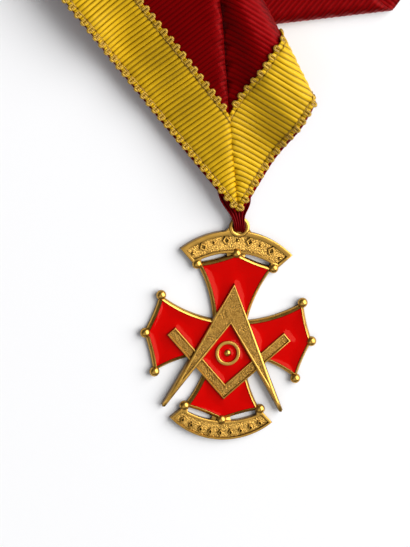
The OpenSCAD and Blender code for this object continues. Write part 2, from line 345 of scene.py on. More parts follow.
@dataclass(frozen=True)
class Finish:
    """A named finish, which makes its material once."""

    name: str

    def material(self) -> bpy.types.Material:
        """Makes the material at the first call and finds it again at the next.

        Returns:
            The material.
        """
        found = bpy.data.materials.get(self.name)
        if found is None:
            found = bpy.data.materials.new(self.name)
            found.use_nodes = True
            found.node_tree.nodes.clear()
            shader = self.shader(found.node_tree)
            add_node(found.node_tree, "ShaderNodeOutputMaterial", {"Surface": shader})
        return found

    def shader(self, tree: bpy.types.NodeTree) -> bpy.types.NodeSocket:
        """Builds the nodes and returns the surface's socket."""
        raise NotImplementedError


class GiltSurface(Enum):
    """How the casting's surface was left."""

    POLISHED = "polished"
    STIPPLED = "stippled"


@dataclass(frozen=True)
class GiltBrass(Finish):
    """Cast brass with thin gilding: brown patina in its hollows, and painted shade that browns its walls,
    the faces that don't point up and the metal near the card.
    """

    surface: GiltSurface = GiltSurface.POLISHED
    gold: str = "DFAC50"
    tarnish_and_shade: str = "3A2408"
    pit: str = "6A4210"
    # A punched stipple has about three pits to the millimetre
    grain: float = 0.36
    # The casting's skin swells every few millimetres, and that breaks up its reflections
    swell: float = 3.4
    # The width of a hollow that polishing doesn't reach, which keeps its brown patina; the same reach also
    # paints shade on the walls next to the card
    hollow: float = 1.5

    def shader(self, tree: bpy.types.NodeTree) -> bpy.types.NodeSocket:
        """Builds the finish's nodes.

        Args:
            tree: The material's node tree.

        Returns:
            The surface's socket.
        """
        stippled = self.surface is GiltSurface.STIPPLED
        spot = add_node(tree, "ShaderNodeTexCoord").outputs["Object"]
        pits = add_node(tree, "ShaderNodeTexNoise",
                        {"Vector": spot, "Scale": 1 / (self.grain * MM), "Detail": 1.0, "Roughness": 0.4})
        swell = add_node(tree, "ShaderNodeTexNoise",
                         {"Vector": spot, "Scale": 1 / (self.swell * MM), "Detail": 1.0})
        # Painted shade: brown is mixed in where the metal is hemmed in, the card included, and where a face
        # points less upwards, on top of the real patina in the hollows
        shelter = add_node(tree, "ShaderNodeAmbientOcclusion", {"Distance": self.hollow * MM}, samples=6)
        worn_and_shaded = add_node(tree, "ShaderNodeMapRange",
                        {"Value": shelter.outputs["AO"], "From Min": 0.25, "From Max": 0.78})
        facing = add_node(tree, "ShaderNodeSeparateXYZ",
                          {"Vector": add_node(tree, "ShaderNodeNewGeometry").outputs["Normal"]})
        painted_facing_shade = add_node(tree, "ShaderNodeMapRange",
                          {"Value": facing.outputs["Z"], "From Min": 0.05, "From Max": 0.75,
                           "To Min": 0.25})
        rubbed_and_lit = add_node(tree, "ShaderNodeMath",
                          {0: worn_and_shaded.outputs["Result"], 1: painted_facing_shade.outputs["Result"]}, operation="MULTIPLY")
        film_and_shade = add_node(tree, "ShaderNodeMix",
                        {"Factor": rubbed_and_lit.outputs["Value"], 6: linear(self.tarnish_and_shade), 7: linear(self.gold)},
                        data_type="RGBA")
        colour = film_and_shade.outputs[2]
        if stippled:
            deep = add_node(tree, "ShaderNodeMapRange",
                            {"Value": pits.outputs["Fac"], "From Min": 0.6, "From Max": 0.4,
                             "To Min": 0.0, "To Max": 0.6})
            colour = add_node(tree, "ShaderNodeMix",
                              {"Factor": deep.outputs["Result"], 6: colour, 7: linear(self.pit)},
                              data_type="RGBA").outputs[2]
        bump = add_node(tree, "ShaderNodeBump",
                        {"Height": swell.outputs["Fac"], "Strength": 0.3, "Distance": 0.3 * MM})
        if stippled:
            bump = add_node(tree, "ShaderNodeBump",
                            {"Height": pits.outputs["Fac"], "Normal": bump.outputs["Normal"],
                             "Strength": 0.9, "Distance": 0.16 * MM})
        rough = add_node(tree, "ShaderNodeMapRange",
                         {"Value": swell.outputs["Fac"], "To Min": 0.2, "To Max": 0.38})
        body = add_node(tree, "ShaderNodeBsdfPrincipled",
                        {"Base Color": colour, "Metallic": 1.0, "Roughness": rough.outputs["Result"],
                         "Normal": bump.outputs["Normal"]})
        return body.outputs["BSDF"]


@dataclass(frozen=True)
class GlassEnamel(Finish):
    """Red glass enamel, fired and polished: a deep colour under a hard, even gloss."""

    red: str = "D60000"
    deep: str = "BC0000"
    gloss: str = "A05040"
    # Fired glass pools unevenly over some millimetres, which stirs its colour and its gloss
    cloud: float = 6.0

    def shader(self, tree: bpy.types.NodeTree) -> bpy.types.NodeSocket:
        """Builds the finish's nodes.

        Args:
            tree: The material's node tree.

        Returns:
            The surface's socket.
        """
        spot = add_node(tree, "ShaderNodeTexCoord").outputs["Object"]
        cloud = add_node(tree, "ShaderNodeTexNoise",
                         {"Vector": spot, "Scale": 1 / (self.cloud * MM), "Detail": 2.0})
        colour = add_node(tree, "ShaderNodeMix",
                          {"Factor": cloud.outputs["Fac"], 6: linear(self.deep), 7: linear(self.red)},
                          data_type="RGBA").outputs[2]
        ripple = add_node(tree, "ShaderNodeBump",
                          {"Height": cloud.outputs["Fac"], "Strength": 0.15, "Distance": 0.1 * MM})
        body = add_node(tree, "ShaderNodeBsdfPrincipled",
                        {"Base Color": colour, "Roughness": 0.06, "IOR": 1.52, "Specular IOR Level": 0.8,
                         "Specular Tint": linear(self.gloss), "Normal": ripple.outputs["Normal"]})
        return body.outputs["BSDF"]


@dataclass(frozen=True)
class Grosgrain(Finish):
    """Woven ribbon whose thick weft makes ribs across it, with a satin sheen; its crests are painted bright
    and its gaps painted dark, as light and shade on the ribs.
    """

    crest: str = "F0C020"
    gap: str = "8A5A00"
    gloss: str = "FFFFFF"
    ior: float = 1.5
    sheen: float = 0.0
    # The warp has four or five threads to the millimetre
    thread: float = 0.22
    # Handled cloth is unevenly bright over about a centimetre
    patch: float = 14.0

    def shader(self, tree: bpy.types.NodeTree) -> bpy.types.NodeSocket:
        """Builds the finish's nodes.

        Args:
            tree: The material's node tree.

        Returns:
            The surface's socket.
        """
        spot = add_node(tree, "ShaderNodeUVMap", uv_map=CLOTH_UV).outputs["UV"]
        share = add_node(tree, "ShaderNodeAttribute", attribute_name=CLOTH_SHADE).outputs["Fac"]
        # A wave's period is a tenth of pi over its scale, and the map counts in millimetres
        warp = add_node(tree, "ShaderNodeTexWave",
                        {"Vector": spot, "Scale": math.pi / 10 / self.thread}, bands_direction="Y")
        uneven = add_node(tree, "ShaderNodeTexNoise",
                          {"Vector": spot, "Scale": 1 / self.patch, "Detail": 3.0})
        # Painted highlight and shade: the colour runs from the gap's dark to the crest's bright with the
        # rib's height
        lit = add_node(tree, "ShaderNodeMapRange",
                       {"Value": share, "From Min": 0.0, "From Max": 0.85})
        colour = add_node(tree, "ShaderNodeMix",
                          {"Factor": lit.outputs["Result"], 6: linear(self.gap), 7: linear(self.crest)},
                          data_type="RGBA").outputs[2]
        shade = add_node(tree, "ShaderNodeMapRange",
                         {"Value": uneven.outputs["Fac"], "From Min": 0.3, "From Max": 0.7,
                          "To Min": 0.86, "To Max": 1.06})
        colour = add_node(tree, "ShaderNodeMix",
                          {"Factor": 1.0, 6: colour, 7: shade.outputs["Result"]},
                          data_type="RGBA", blend_type="MULTIPLY").outputs[2]
        fibres = add_node(tree, "ShaderNodeBump",
                          {"Height": warp.outputs["Fac"], "Strength": 0.25, "Distance": 0.05 * MM})
        body = add_node(tree, "ShaderNodeBsdfPrincipled",
                        {"Base Color": colour, "Roughness": 0.4, "IOR": self.ior,
                         "Specular Tint": linear(self.gloss), "Sheen Weight": self.sheen,
                         "Sheen Roughness": 0.4, "Sheen Tint": linear(self.gloss),
                         "Normal": fibres.outputs["Normal"]})
        return body.outputs["BSDF"]


@dataclass(frozen=True)
class TwistedThread(Finish):
    """Thick twisted silk, as in loops and stitches: soft gloss with fine oblique plies."""

    crest: str = "E0B41C"
    gap: str = "8C6000"
    # Real plies are about 0.25 mm wide, and these are drawn coarser so that they show
    ply: float = 0.4

    def shader(self, tree: bpy.types.NodeTree) -> bpy.types.NodeSocket:
        """Builds the finish's nodes.

        Args:
            tree: The material's node tree.

        Returns:
            The surface's socket.
        """
        spot = add_node(tree, "ShaderNodeTexCoord").outputs["Object"]
        plies = add_node(tree, "ShaderNodeTexWave",
                         {"Vector": spot, "Scale": math.pi / 10 / (self.ply * MM), "Distortion": 2.0},
                         bands_direction="DIAGONAL")
        colour = add_node(tree, "ShaderNodeMix",
                          {"Factor": plies.outputs["Fac"], 6: linear(self.gap), 7: linear(self.crest)},
                          data_type="RGBA").outputs[2]
        bump = add_node(tree, "ShaderNodeBump",
                        {"Height": plies.outputs["Fac"], "Strength": 0.4, "Distance": 0.08 * MM})
        body = add_node(tree, "ShaderNodeBsdfPrincipled",
                        {"Base Color": colour, "Roughness": 0.5, "Sheen Weight": 0.2,
                         "Normal": bump.outputs["Normal"]})
        return body.outputs["BSDF"]


@dataclass(frozen=True)
class MattPaper(Finish):
    """White matt card, which shows nothing but soft shadows."""

    white: str = "F9F9FA"

    def shader(self, tree: bpy.types.NodeTree) -> bpy.types.NodeSocket:
        """Builds the finish's nodes.

        Args:
            tree: The material's node tree.

        Returns:
            The surface's socket.
        """
        body = add_node(tree, "ShaderNodeBsdfPrincipled",
                        {"Base Color": linear(self.white), "Roughness": 0.9, "Specular IOR Level": 0.1})
        return body.outputs["BSDF"]


# Polished gilding: warm gold with soft, wavy reflections, brown in the corners from patina and painted
# shade, and with painted shade on its walls
GILT = GiltBrass("gilt_brass_polished")
# The scrolls' floors, punched all over, so that they glitter in a brighter, broken gold
GILT_STIPPLED = GiltBrass("gilt_brass_stippled", surface=GiltSurface.STIPPLED, gold="F0BC5C")
# The floors of the compasses and the square, with the same stipple under a duller, browner film
GILT_TARNISHED = GiltBrass("gilt_brass_tarnished", surface=GiltSurface.STIPPLED, gold="B88C42")
# Deep, even red under a hard gloss, which mirrors the lamps along the metal
ENAMEL = GlassEnamel("red_glass_enamel")
# Yellow ribs with a painted highlight on their crests and painted shade in the lines between them
TRIM_CLOTH = Grosgrain("yellow_grosgrain", crest="F0BE18", gap="543200", gloss="FFE680", ior=1.6)
# Deep red with low ribs, with painted shade in the gaps between them, and a brighter red sheen where the
# cloth turns away
RIBBON_CLOTH = Grosgrain("red_grosgrain", crest="6C0001", gap="380000", gloss="FF1E24", ior=1.75,
                         sheen=0.5)
# The same cloth gathered, with painted shade in its pleats, where little light gets in
LOOP_CLOTH = Grosgrain("dark_red_grosgrain", crest="6E0004", gap="2E0001", gloss="FF5A60")
# Soft, rounded threads, a little browner than the trim
TRIM_THREAD = TwistedThread("yellow_thread")
# The surface under the piece, white and without gloss
CARD = MattPaper("matt_card")


# Medal

@dataclass(frozen=True)
class CrossPlan:
    """Outlines of the medal in its own plane, about the middle of the cross."""

    arm_reach: float = 29.3
    corner_reach: float = 24.9
    corner_half: float = 13.4
    crotch: float = 6.0
    side_hollow: float = 1.2
    end_hollow: float = 0.45
    rim_w: float = 1.25
    apex_y: float = 18.8
    joint_y: float = 4.7
    leg_x: float = 21.1
    leg_y: float = 24.9
    leg_tip_w: float = 1.1
    square_y: float = 16.3
    square_len: float = 26.7
    square_w: float = 3.8
    ring_y: float = 5.5
    ring_r: float = 4.3
    ring_w: float = 1.15
    boss_r: float = 1.2
    crotch_cut: tuple[int, int] = (2, 4)
    hidden_crotch: Point = (10.8, -8.9)

    @cached_property
    def arm_corners(self) -> list[Vector]:
        """Returns the corners of the arm that points up, with its balls, from right to left."""
        right = Vector((self.corner_half, self.corner_reach))
        return [right, Vector((0, self.arm_reach)), Vector((-right.x, right.y))]

    @cached_property
    def arm(self) -> list[Vector]:
        """Draws the arm that points up.

        Returns:
            Its outline, from its right crotch to its left.
        """
        foot = Vector((self.crotch, self.crotch))
        right, point, _ = self.arm_corners
        half = hollow_edge(foot, right, self.side_hollow, 14)
        half += hollow_edge(right, point, self.end_hollow, 6)
        return half + [point] + mirrored(half)

    @cached_property
    def cross(self) -> list[Vector]:
        """Returns the outline of the whole cross, counterclockwise."""
        return [p for k in range(4) for p in turned(self.arm[:-1], 90 * k)]

    @cached_property
    def frame(self) -> list[Vector]:
        """Draws the cross with its lower crotches moved out, under the crossing bars.

        Returns:
            Its outline, counterclockwise.
        """
        count = len(self.arm) - 1
        near, far = self.crotch_cut
        right = Vector(self.hidden_crotch)
        upper_left = self.cross[:2 * count - near] + mirrored([right])
        low = self.cross[2 * count + far:3 * count - far + 1] + [right]
        return upper_left + low + self.cross[3 * count + near + 1:]

    def arm_inside(self, by: float) -> list[Vector]:
        """Returns the arm that points up, with its edges moved in, closed through the middle."""
        count = len(self.arm)
        return [Vector((0, 0))] + grown(self.cross, -by)[:count]

    @cached_property
    def compasses(self) -> list[Vector]:
        """Draws the compasses, whose tips are a little rounded.

        Returns:
            Their outline, counterclockwise from the corner between the legs.
        """
        inner = Vector((self.leg_x - self.leg_tip_w, -self.leg_y - self.leg_tip_w / 4))
        outer = Vector((self.leg_x, self.leg_tip_w / 2 - self.leg_y))
        way = unit(inner + outer - Vector((0, self.joint_y + self.apex_y)))
        end = (inner + outer) / 2 + way * self.leg_tip_w / 2
        right = [inner, end, outer]
        return [Vector((0, self.joint_y)), *right, Vector((0, self.apex_y)), *mirrored(right)]

    @cached_property
    def compasses_filled(self) -> list[Vector]:
        """Returns the triangle that the compasses span."""
        outer = self.compasses[3]
        return [Vector((0, self.apex_y)), *mirrored([outer]), outer]

    @cached_property
    def square(self) -> list[Vector]:
        """Draws the square.

        Returns:
            Its outline, counterclockwise from its lowest point.
        """
        end = Vector((self.square_len, self.square_len)) / math.sqrt(2) + Vector((0, -self.square_y))
        half = [end + Vector((self.square_w, -self.square_w)) / math.sqrt(2), end]
        low = Vector((0, -self.square_y - self.square_w * math.sqrt(2)))
        return [low, *half, Vector((0, -self.square_y)), *mirrored(half)]

    @cached_property
    def square_filled(self) -> list[Vector]:
        """Returns the shape that the square spans."""
        return self.square[:3] + self.square[4:]

    @cached_property
    def diamond(self) -> list[Vector]:
        """Draws the field between the compasses and the square.

        Returns:
            Its outline, counterclockwise.
        """
        inner = self.compasses[1]
        slope = (self.joint_y - inner.y) / inner.x
        side = (self.joint_y + self.square_y) / (1 + slope)
        corner = Vector((side, side - self.square_y))
        return [Vector((0, self.joint_y)), *mirrored([corner]), Vector((0, -self.square_y)), corner]

    @cached_property
    def ring_centre(self) -> Vector:
        """Returns the middle of the ring."""
        return Vector((0, -self.ring_y))


@dataclass(frozen=True)
class ScrollPlan:
    """Outline of a scroll that lies above the middle."""

    corner: Point
    foot: Point
    outer_r: float
    inner_r: float
    inner_y: float
    rim: float
    edge_rim: float = 1.0
    slot_from: float = 3.3
    slot_to: float = 12.0
    slot_r: float = 0.95
    slot_in: float = 0.8
    slot_down: float = 1.15
    foot_rise: float = 0.9
    steps: int = 28

    def centre_y(self) -> float:
        """Returns the height of the outer arc's middle."""
        return self.corner[1] - math.sqrt(self.outer_r ** 2 - self.corner[0] ** 2)

    def _top(self, radius: float, end_x: float) -> list[Vector]:
        """Draws an arc along the scroll's upper edge.

        Args:
            radius: The arc's radius.
            end_x: How far from the middle line its ends are.

        Returns:
            Its points, from right to left.
        """
        centre = Vector((0, self.centre_y()))
        half = math.asin(end_x / radius)
        return arc(centre, radius, math.pi / 2 - half, math.pi / 2 + half, self.steps)

    def _under(self, radius: float, end_x: float) -> list[Vector]:
        """Draws an arc along the scroll's lower edge.

        Args:
            radius: The arc's radius.
            end_x: How far from the middle line its ends are.

        Returns:
            Its points, from left to right.
        """
        centre = Vector((0, self.inner_y - self.inner_r))
        half = math.asin(end_x / radius)
        return arc(centre, radius, math.pi / 2 + half, math.pi / 2 - half, self.steps)

    def outline(self) -> list[Vector]:
        """Draws the plate.

        Returns:
            Its outline, counterclockwise from its right foot.
        """
        foot = [Vector((self.slot_to, self.foot[1] + self.foot_rise)), Vector(self.foot)]
        return [*foot, *self._top(self.outer_r, self.corner[0]), *mirrored(foot),
                *self._under(self.inner_r, self.slot_to)]

    def face(self) -> list[Vector]:
        """Draws the plate's sunk floor.

        Returns:
            Its outline, point by point inside the plate's.
        """
        rise = unit(Vector(self.corner) - Vector(self.foot))
        inner_r = self.inner_r + self.edge_rim
        top_r = self.outer_r - self.rim
        start = Vector(self.foot) - right_of(rise) * self.edge_rim
        end_top = _on_circle(start, rise, Vector((0, self.centre_y())), top_r)
        end_low = _on_circle(start, rise, Vector((0, self.inner_y - self.inner_r)), inner_r)
        # Two points close to the corner pair with the two of the plate's foot
        foot = [end_low + rise * 0.02, end_low + rise * 0.04]
        return [*foot, *self._top(top_r, end_top.x), *mirrored(foot), *self._under(inner_r, end_low.x)]

    def web(self) -> list[Vector]:
        """Draws the low web between the two slots, which joins the plate to the arm.

        Returns:
            Its outline, whose sides are the slots' round inner ends.
        """
        end = Vector((self.slot_from + self.slot_in, self.inner_y - self.slot_down))
        bend = arc(end, self.slot_r, -math.pi / 2, -math.pi * 3 / 2, 8)
        half = [end + Vector((0.6, -1.2)), *bend, end + Vector((0.2, 1.3))]
        return [*half, *mirrored(half)]


def _on_circle(start: Vector, way: Vector, centre: Vector, radius: float) -> Vector:
    """Finds where a line leaves a circle.

    Args:
        start: A point on the line.
        way: The line's direction, at length one.
        centre: The circle's middle.
        radius: The circle's radius.

    Returns:
        The far point.
    """
    to = start - centre
    b = to.dot(way)
    return start + way * (-b + math.sqrt(b * b - to.length_squared + radius * radius))


class MetalSlot(IntEnum):
    """The casting's material slots."""

    POLISHED = 0
    STIPPLED = 1
    TARNISHED = 2


class MarkRow(NamedTuple):
    """A row of raised marks on a scroll's floor, evenly spaced on an arc."""

    centre_y: float
    radius: float
    first: float
    step: float
    count: int
    width: float
    height: float


TOP_LOZENGES = MarkRow(centre_y=9.4, radius=24.2, first=-29.1, step=19.4, count=4, width=2.9, height=3.3)
TOP_DOTS = MarkRow(centre_y=9.4, radius=24.0, first=-38.8, step=19.4, count=5, width=1.1, height=1.1)
LOW_LOZENGES = MarkRow(centre_y=8.5, radius=24.95, first=-32.8, step=8.2, count=9, width=1.7, height=2.4)
TOP_SCROLL = ScrollPlan(corner=(19.4, 29.5), foot=(14.2, 24.3), outer_r=29.3, inner_r=27, inner_y=29.1,
                        rim=1.7)
LOW_SCROLL = ScrollPlan(corner=(17.9, 29), foot=(13, 24.4), outer_r=26.6, inner_r=28, inner_y=29.3,
                        rim=0.8)


@dataclass
class GiltCasting:
    """The medal's metal, one casting."""

    plan: CrossPlan
    place: Place
    plate_t: float = 1.2
    bar_low_z: float = 0.8
    square_z: float = 2.9
    compass_z: float = 3.4
    face_sink: float = 0.4
    face_wall: float = 0.03
    ring_z: float = 2.7
    scroll_floor_z: float = 1.7
    scroll_z: float = 2.5
    scroll_bevel: float = 0.12
    boss_flat: float = 0.75
    ball_r: float = 1.75
    ball_out: float = -0.35
    ball_flat: float = 0.9
    ball_lift: float = 0.02
    eye_y: float = 38.1
    eye_r: float = 3.6
    eye_hole_r: float = 2.0
    eye_low_z: float = 1.35
    eye_top_z: float = 2.95
    eye_foot: Point = (5.0, 36.0)
    face_tip: Point = (15.0, -15.2)
    face_tip_half: Point = (0.08, 0.04)
    face_apex_in: float = 1.1
    face_joint_in: float = 0.85

    def build(self) -> bpy.types.Object:
        """Builds the casting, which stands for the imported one.

        Returns:
            The piece.
        """
        mesh = bmesh.new()
        self._cross(mesh)
        self._square(mesh)
        self._compasses(mesh)
        self._ring(mesh)
        self._balls(mesh)
        self._scrolls(mesh)
        self._eye(mesh)
        bmesh.ops.recalc_face_normals(mesh, faces=mesh.faces)
        piece = finished(mesh, "gilt_casting", self.place, [GILT, GILT_STIPPLED, GILT_TARNISHED])
        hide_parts("cross_medal")
        return piece

    def _cross(self, mesh: bmesh.types.BMesh) -> None:
        """Adds the cross, whose rim slopes outwards from a thin crest, and the plate under the enamel.

        Args:
            mesh: The mesh that gets it.
        """
        # Each step is how far a ring lies in from the outline, and its height
        steps = [(0, 0), (0, 1.2), (0.1, 1.42), (0.25, 1.66), (0.42, 1.86), (0.6, 2.02), (0.8, 2.16),
                 (0.95, 2.26), (1.05, 2.32), (1.15, 2.26), (1.22, 2.1), (self.plan.rim_w, self.plate_t)]
        loft(mesh, [flat_ring(grown(self.plan.frame, -inset), z) for inset, z in steps])
        loft(mesh, [flat_ring(self.plan.diamond, 0), flat_ring(self.plan.diamond, self.plate_t)])

    def _square(self, mesh: bmesh.types.BMesh) -> None:
        """Adds the square, a sunk face inside a thin rim.

        Args:
            mesh: The mesh that gets it.
        """
        top, outline = self.square_z, self.plan.square
        steps = [(0, self.bar_low_z), (0.02, top - 0.3), (0.1, top - 0.1), (0.22, top - 0.01),
                 (0.35, top), (0.48, top - 0.02), (0.58, top - 0.14), (0.68, top - 0.4),
                 (0.76, top - 0.52)]
        loft(mesh, [flat_ring(grown(outline, -inset), z) for inset, z in steps],
             cap=MetalSlot.TARNISHED)

    def _compasses(self, mesh: bmesh.types.BMesh) -> None:
        """Adds the compasses, whose sunk face ends in points above the rounded tips.

        Args:
            mesh: The mesh that gets it.
        """
        outline, top = self.plan.compasses, self.compass_z
        tip, half = Vector(self.face_tip), Vector(self.face_tip_half)
        tips = [tip - half, tip, tip + half]
        apex = Vector((0, self.plan.apex_y - self.face_apex_in))
        face = [Vector((0, self.plan.joint_y + self.face_joint_in)), *tips, apex, *mirrored(tips)]
        # Each step is the share of the way from the outline to the face, and a height
        steps = [(0, self.bar_low_z), (0.0, 2.1), (0.1, 2.7), (0.26, 3.08), (0.48, 3.32), (0.7, top),
                 (0.88, top - 0.05), (1, top - 0.16)]
        rings = [flat_ring([a.lerp(b, share) for a, b in zip(outline, face)], z) for share, z in steps]
        floor = flat_ring(grown(face, -self.face_wall), top - self.face_sink)
        loft(mesh, [*rings, floor], cap=MetalSlot.TARNISHED)

    def _ring(self, mesh: bmesh.types.BMesh) -> None:
        """Adds the ring and the boss inside it.

        Args:
            mesh: The mesh that gets it.
        """
        plan, low, top = self.plan, self.bar_low_z, self.ring_z
        inner = plan.ring_r - plan.ring_w
        outer = plan.ring_r
        profile = [(inner, low), (outer, low), (outer, top - 0.2), (outer - 0.12, top - 0.04),
                   (outer - 0.35, top), (inner + 0.3, top), (inner + 0.1, top - 0.05),
                   (inner, top - 0.2)]
        turned_body(mesh, profile, plan.ring_centre, 64)
        boss_z = top - self.boss_flat * plan.boss_r
        self._pearl(mesh, Vector((0, -plan.ring_y, boss_z)), plan.boss_r, self.boss_flat, 32, 12)

    def _balls(self, mesh: bmesh.types.BMesh) -> None:
        """Adds a ball at each corner of the arms.

        Args:
            mesh: The mesh that gets it.
        """
        for corner in [p for k in range(4) for p in turned(self.plan.arm_corners, 90 * k)]:
            spot = corner + unit(corner) * self.ball_out
            middle = Vector((spot.x, spot.y, self.ball_r * self.ball_flat + self.ball_lift))
            self._pearl(mesh, middle, self.ball_r, self.ball_flat, 28, 16)

    @staticmethod
    def _pearl(mesh: bmesh.types.BMesh, middle: Vector, radius: float, flat: float, around: int,
               down: int) -> None:
        """Adds a flattened ball.

        Args:
            mesh: The mesh that gets it.
            middle: Its middle.
            radius: Its radius in the plane.
            flat: Its height as a share of its width.
            around: How many segments it has round its axis.
            down: How many it has from pole to pole.
        """
        ball = bmesh.ops.create_uvsphere(mesh, u_segments=around, v_segments=down, radius=radius)
        bmesh.ops.scale(mesh, vec=(1, 1, flat), verts=ball["verts"])
        bmesh.ops.translate(mesh, vec=middle, verts=ball["verts"])

    def _scrolls(self, mesh: bmesh.types.BMesh) -> None:
        """Adds both scrolls with their middle webs and raised marks.

        Args:
            mesh: The mesh that gets it.
        """
        upper, lower = bmesh.new(), bmesh.new()
        self._scroll(upper, TOP_SCROLL)
        for k in range(TOP_LOZENGES.count):
            self._lozenge(upper, TOP_LOZENGES, k)
        for k in range(TOP_DOTS.count):
            self._dot(upper, TOP_DOTS, k)
        self._scroll(lower, LOW_SCROLL)
        for k in range(LOW_LOZENGES.count):
            self._lozenge(lower, LOW_LOZENGES, k)
        half_turn = Matrix.Rotation(math.pi, 3, "Z")
        bmesh.ops.rotate(lower, cent=(0, 0, 0), matrix=half_turn, verts=lower.verts)
        add_part(mesh, upper)
        add_part(mesh, lower)

    def _scroll(self, mesh: bmesh.types.BMesh, plan: ScrollPlan) -> None:
        """Adds one scroll, above the middle.

        Args:
            mesh: The mesh that gets it.
            plan: The scroll's plan.
        """
        top, outline, face = self.scroll_z, plan.outline(), plan.face()
        steps = [(0, 0), (0, top - 0.4), (0.06, top - 0.14), (0.2, top - 0.02), (0.32, top)]
        rings = [flat_ring(grown(outline, -inset), z) for inset, z in steps]
        edge = [a.lerp(b, self.scroll_bevel) for a, b in zip(face, outline)]
        rings += [flat_ring(edge, top), flat_ring(face, top - self.scroll_bevel),
                  flat_ring(face, self.scroll_floor_z)]
        loft(mesh, rings, cap=MetalSlot.STIPPLED)
        steps = [(0, 0), (0, 1.15), (0.1, 1.4), (0.3, 1.5)]
        loft(mesh, [flat_ring(grown(plan.web(), -inset), z) for inset, z in steps])

    def _lozenge(self, mesh: bmesh.types.BMesh, row: MarkRow, k: int) -> None:
        """Adds an open lozenge to a scroll's floor, upright on its arc.

        Args:
            mesh: The mesh that gets it.
            row: The row that it is in.
            k: Its place in the row.
        """
        wide, high, top = row.width / 2, row.height / 2, self.scroll_z
        corners = [Vector((0, high)), Vector((-wide, 0)), Vector((0, -high)), Vector((wide, 0))]
        turn = Matrix.Rotation(math.radians(row.first + row.step * k), 2)
        middle = Vector((0, row.centre_y)) + turn @ Vector((0, row.radius))
        # Each step is a share of the lozenge's size, and a height
        steps = [(1, self.plate_t), (1, top - 0.15), (0.94, top - 0.03), (0.82, top), (0.62, top),
                 (0.54, top - 0.05), (0.5, top - 0.2), (0.5, self.scroll_floor_z + 0.05)]
        loft(mesh, [flat_ring([middle + turn @ (p * share) for p in corners], z) for share, z in steps])

    def _dot(self, mesh: bmesh.types.BMesh, row: MarkRow, k: int) -> None:
        """Adds a small dot to a scroll's floor.

        Args:
            mesh: The mesh that gets it.
            row: The row that it is in.
            k: Its place in the row.
        """
        turn = Matrix.Rotation(math.radians(row.first + row.step * k), 2)
        spot = Vector((0, row.centre_y)) + turn @ Vector((0, row.radius))
        radius = row.width / 2
        self._pearl(mesh, Vector((spot.x, spot.y, self.scroll_z - radius)), radius, 1, 16, 10)

    def _eye(self, mesh: bmesh.types.BMesh) -> None:
        """Adds the eye that the ribbon's loop goes through, and its foot on the top scroll.

        Args:
            mesh: The mesh that gets it.
        """
        low, top, outer, inner = self.eye_low_z, self.eye_top_z, self.eye_r, self.eye_hole_r
        middle, eye_y = (low + top) / 2, self.eye_y
        profile = [(inner + 0.35, low), (outer - 0.35, low), (outer - 0.08, low + 0.3),
                   (outer, middle), (outer - 0.08, top - 0.3), (outer - 0.4, top - 0.03),
                   (outer - 0.8, top), (inner + 0.4, top - 0.03), (inner + 0.08, top - 0.3),
                   (inner, middle), (inner + 0.08, low + 0.3)]
        turned_body(mesh, profile, Vector((0, eye_y)), 64)
        half = [Vector(self.eye_foot), Vector((outer - 0.5, eye_y)), Vector((inner + 0.25, eye_y))]
        foot = [Vector((0, self.eye_foot[1])), *half, Vector((0, eye_y - inner - 0.3)), *mirrored(half)]
        plate_z = self.scroll_z
        steps = [(0, low), (0, plate_z - 0.3), (0.1, plate_z - 0.1), (0.14, plate_z - 0.02)]
        loft(mesh, [flat_ring(grown(foot, -inset), z) for inset, z in steps])


class Field(NamedTuple):
    """One field of enamel: its outline and the metal that stands in it."""

    name: str
    outline: list[Vector]
    bars: list[list[Vector]]


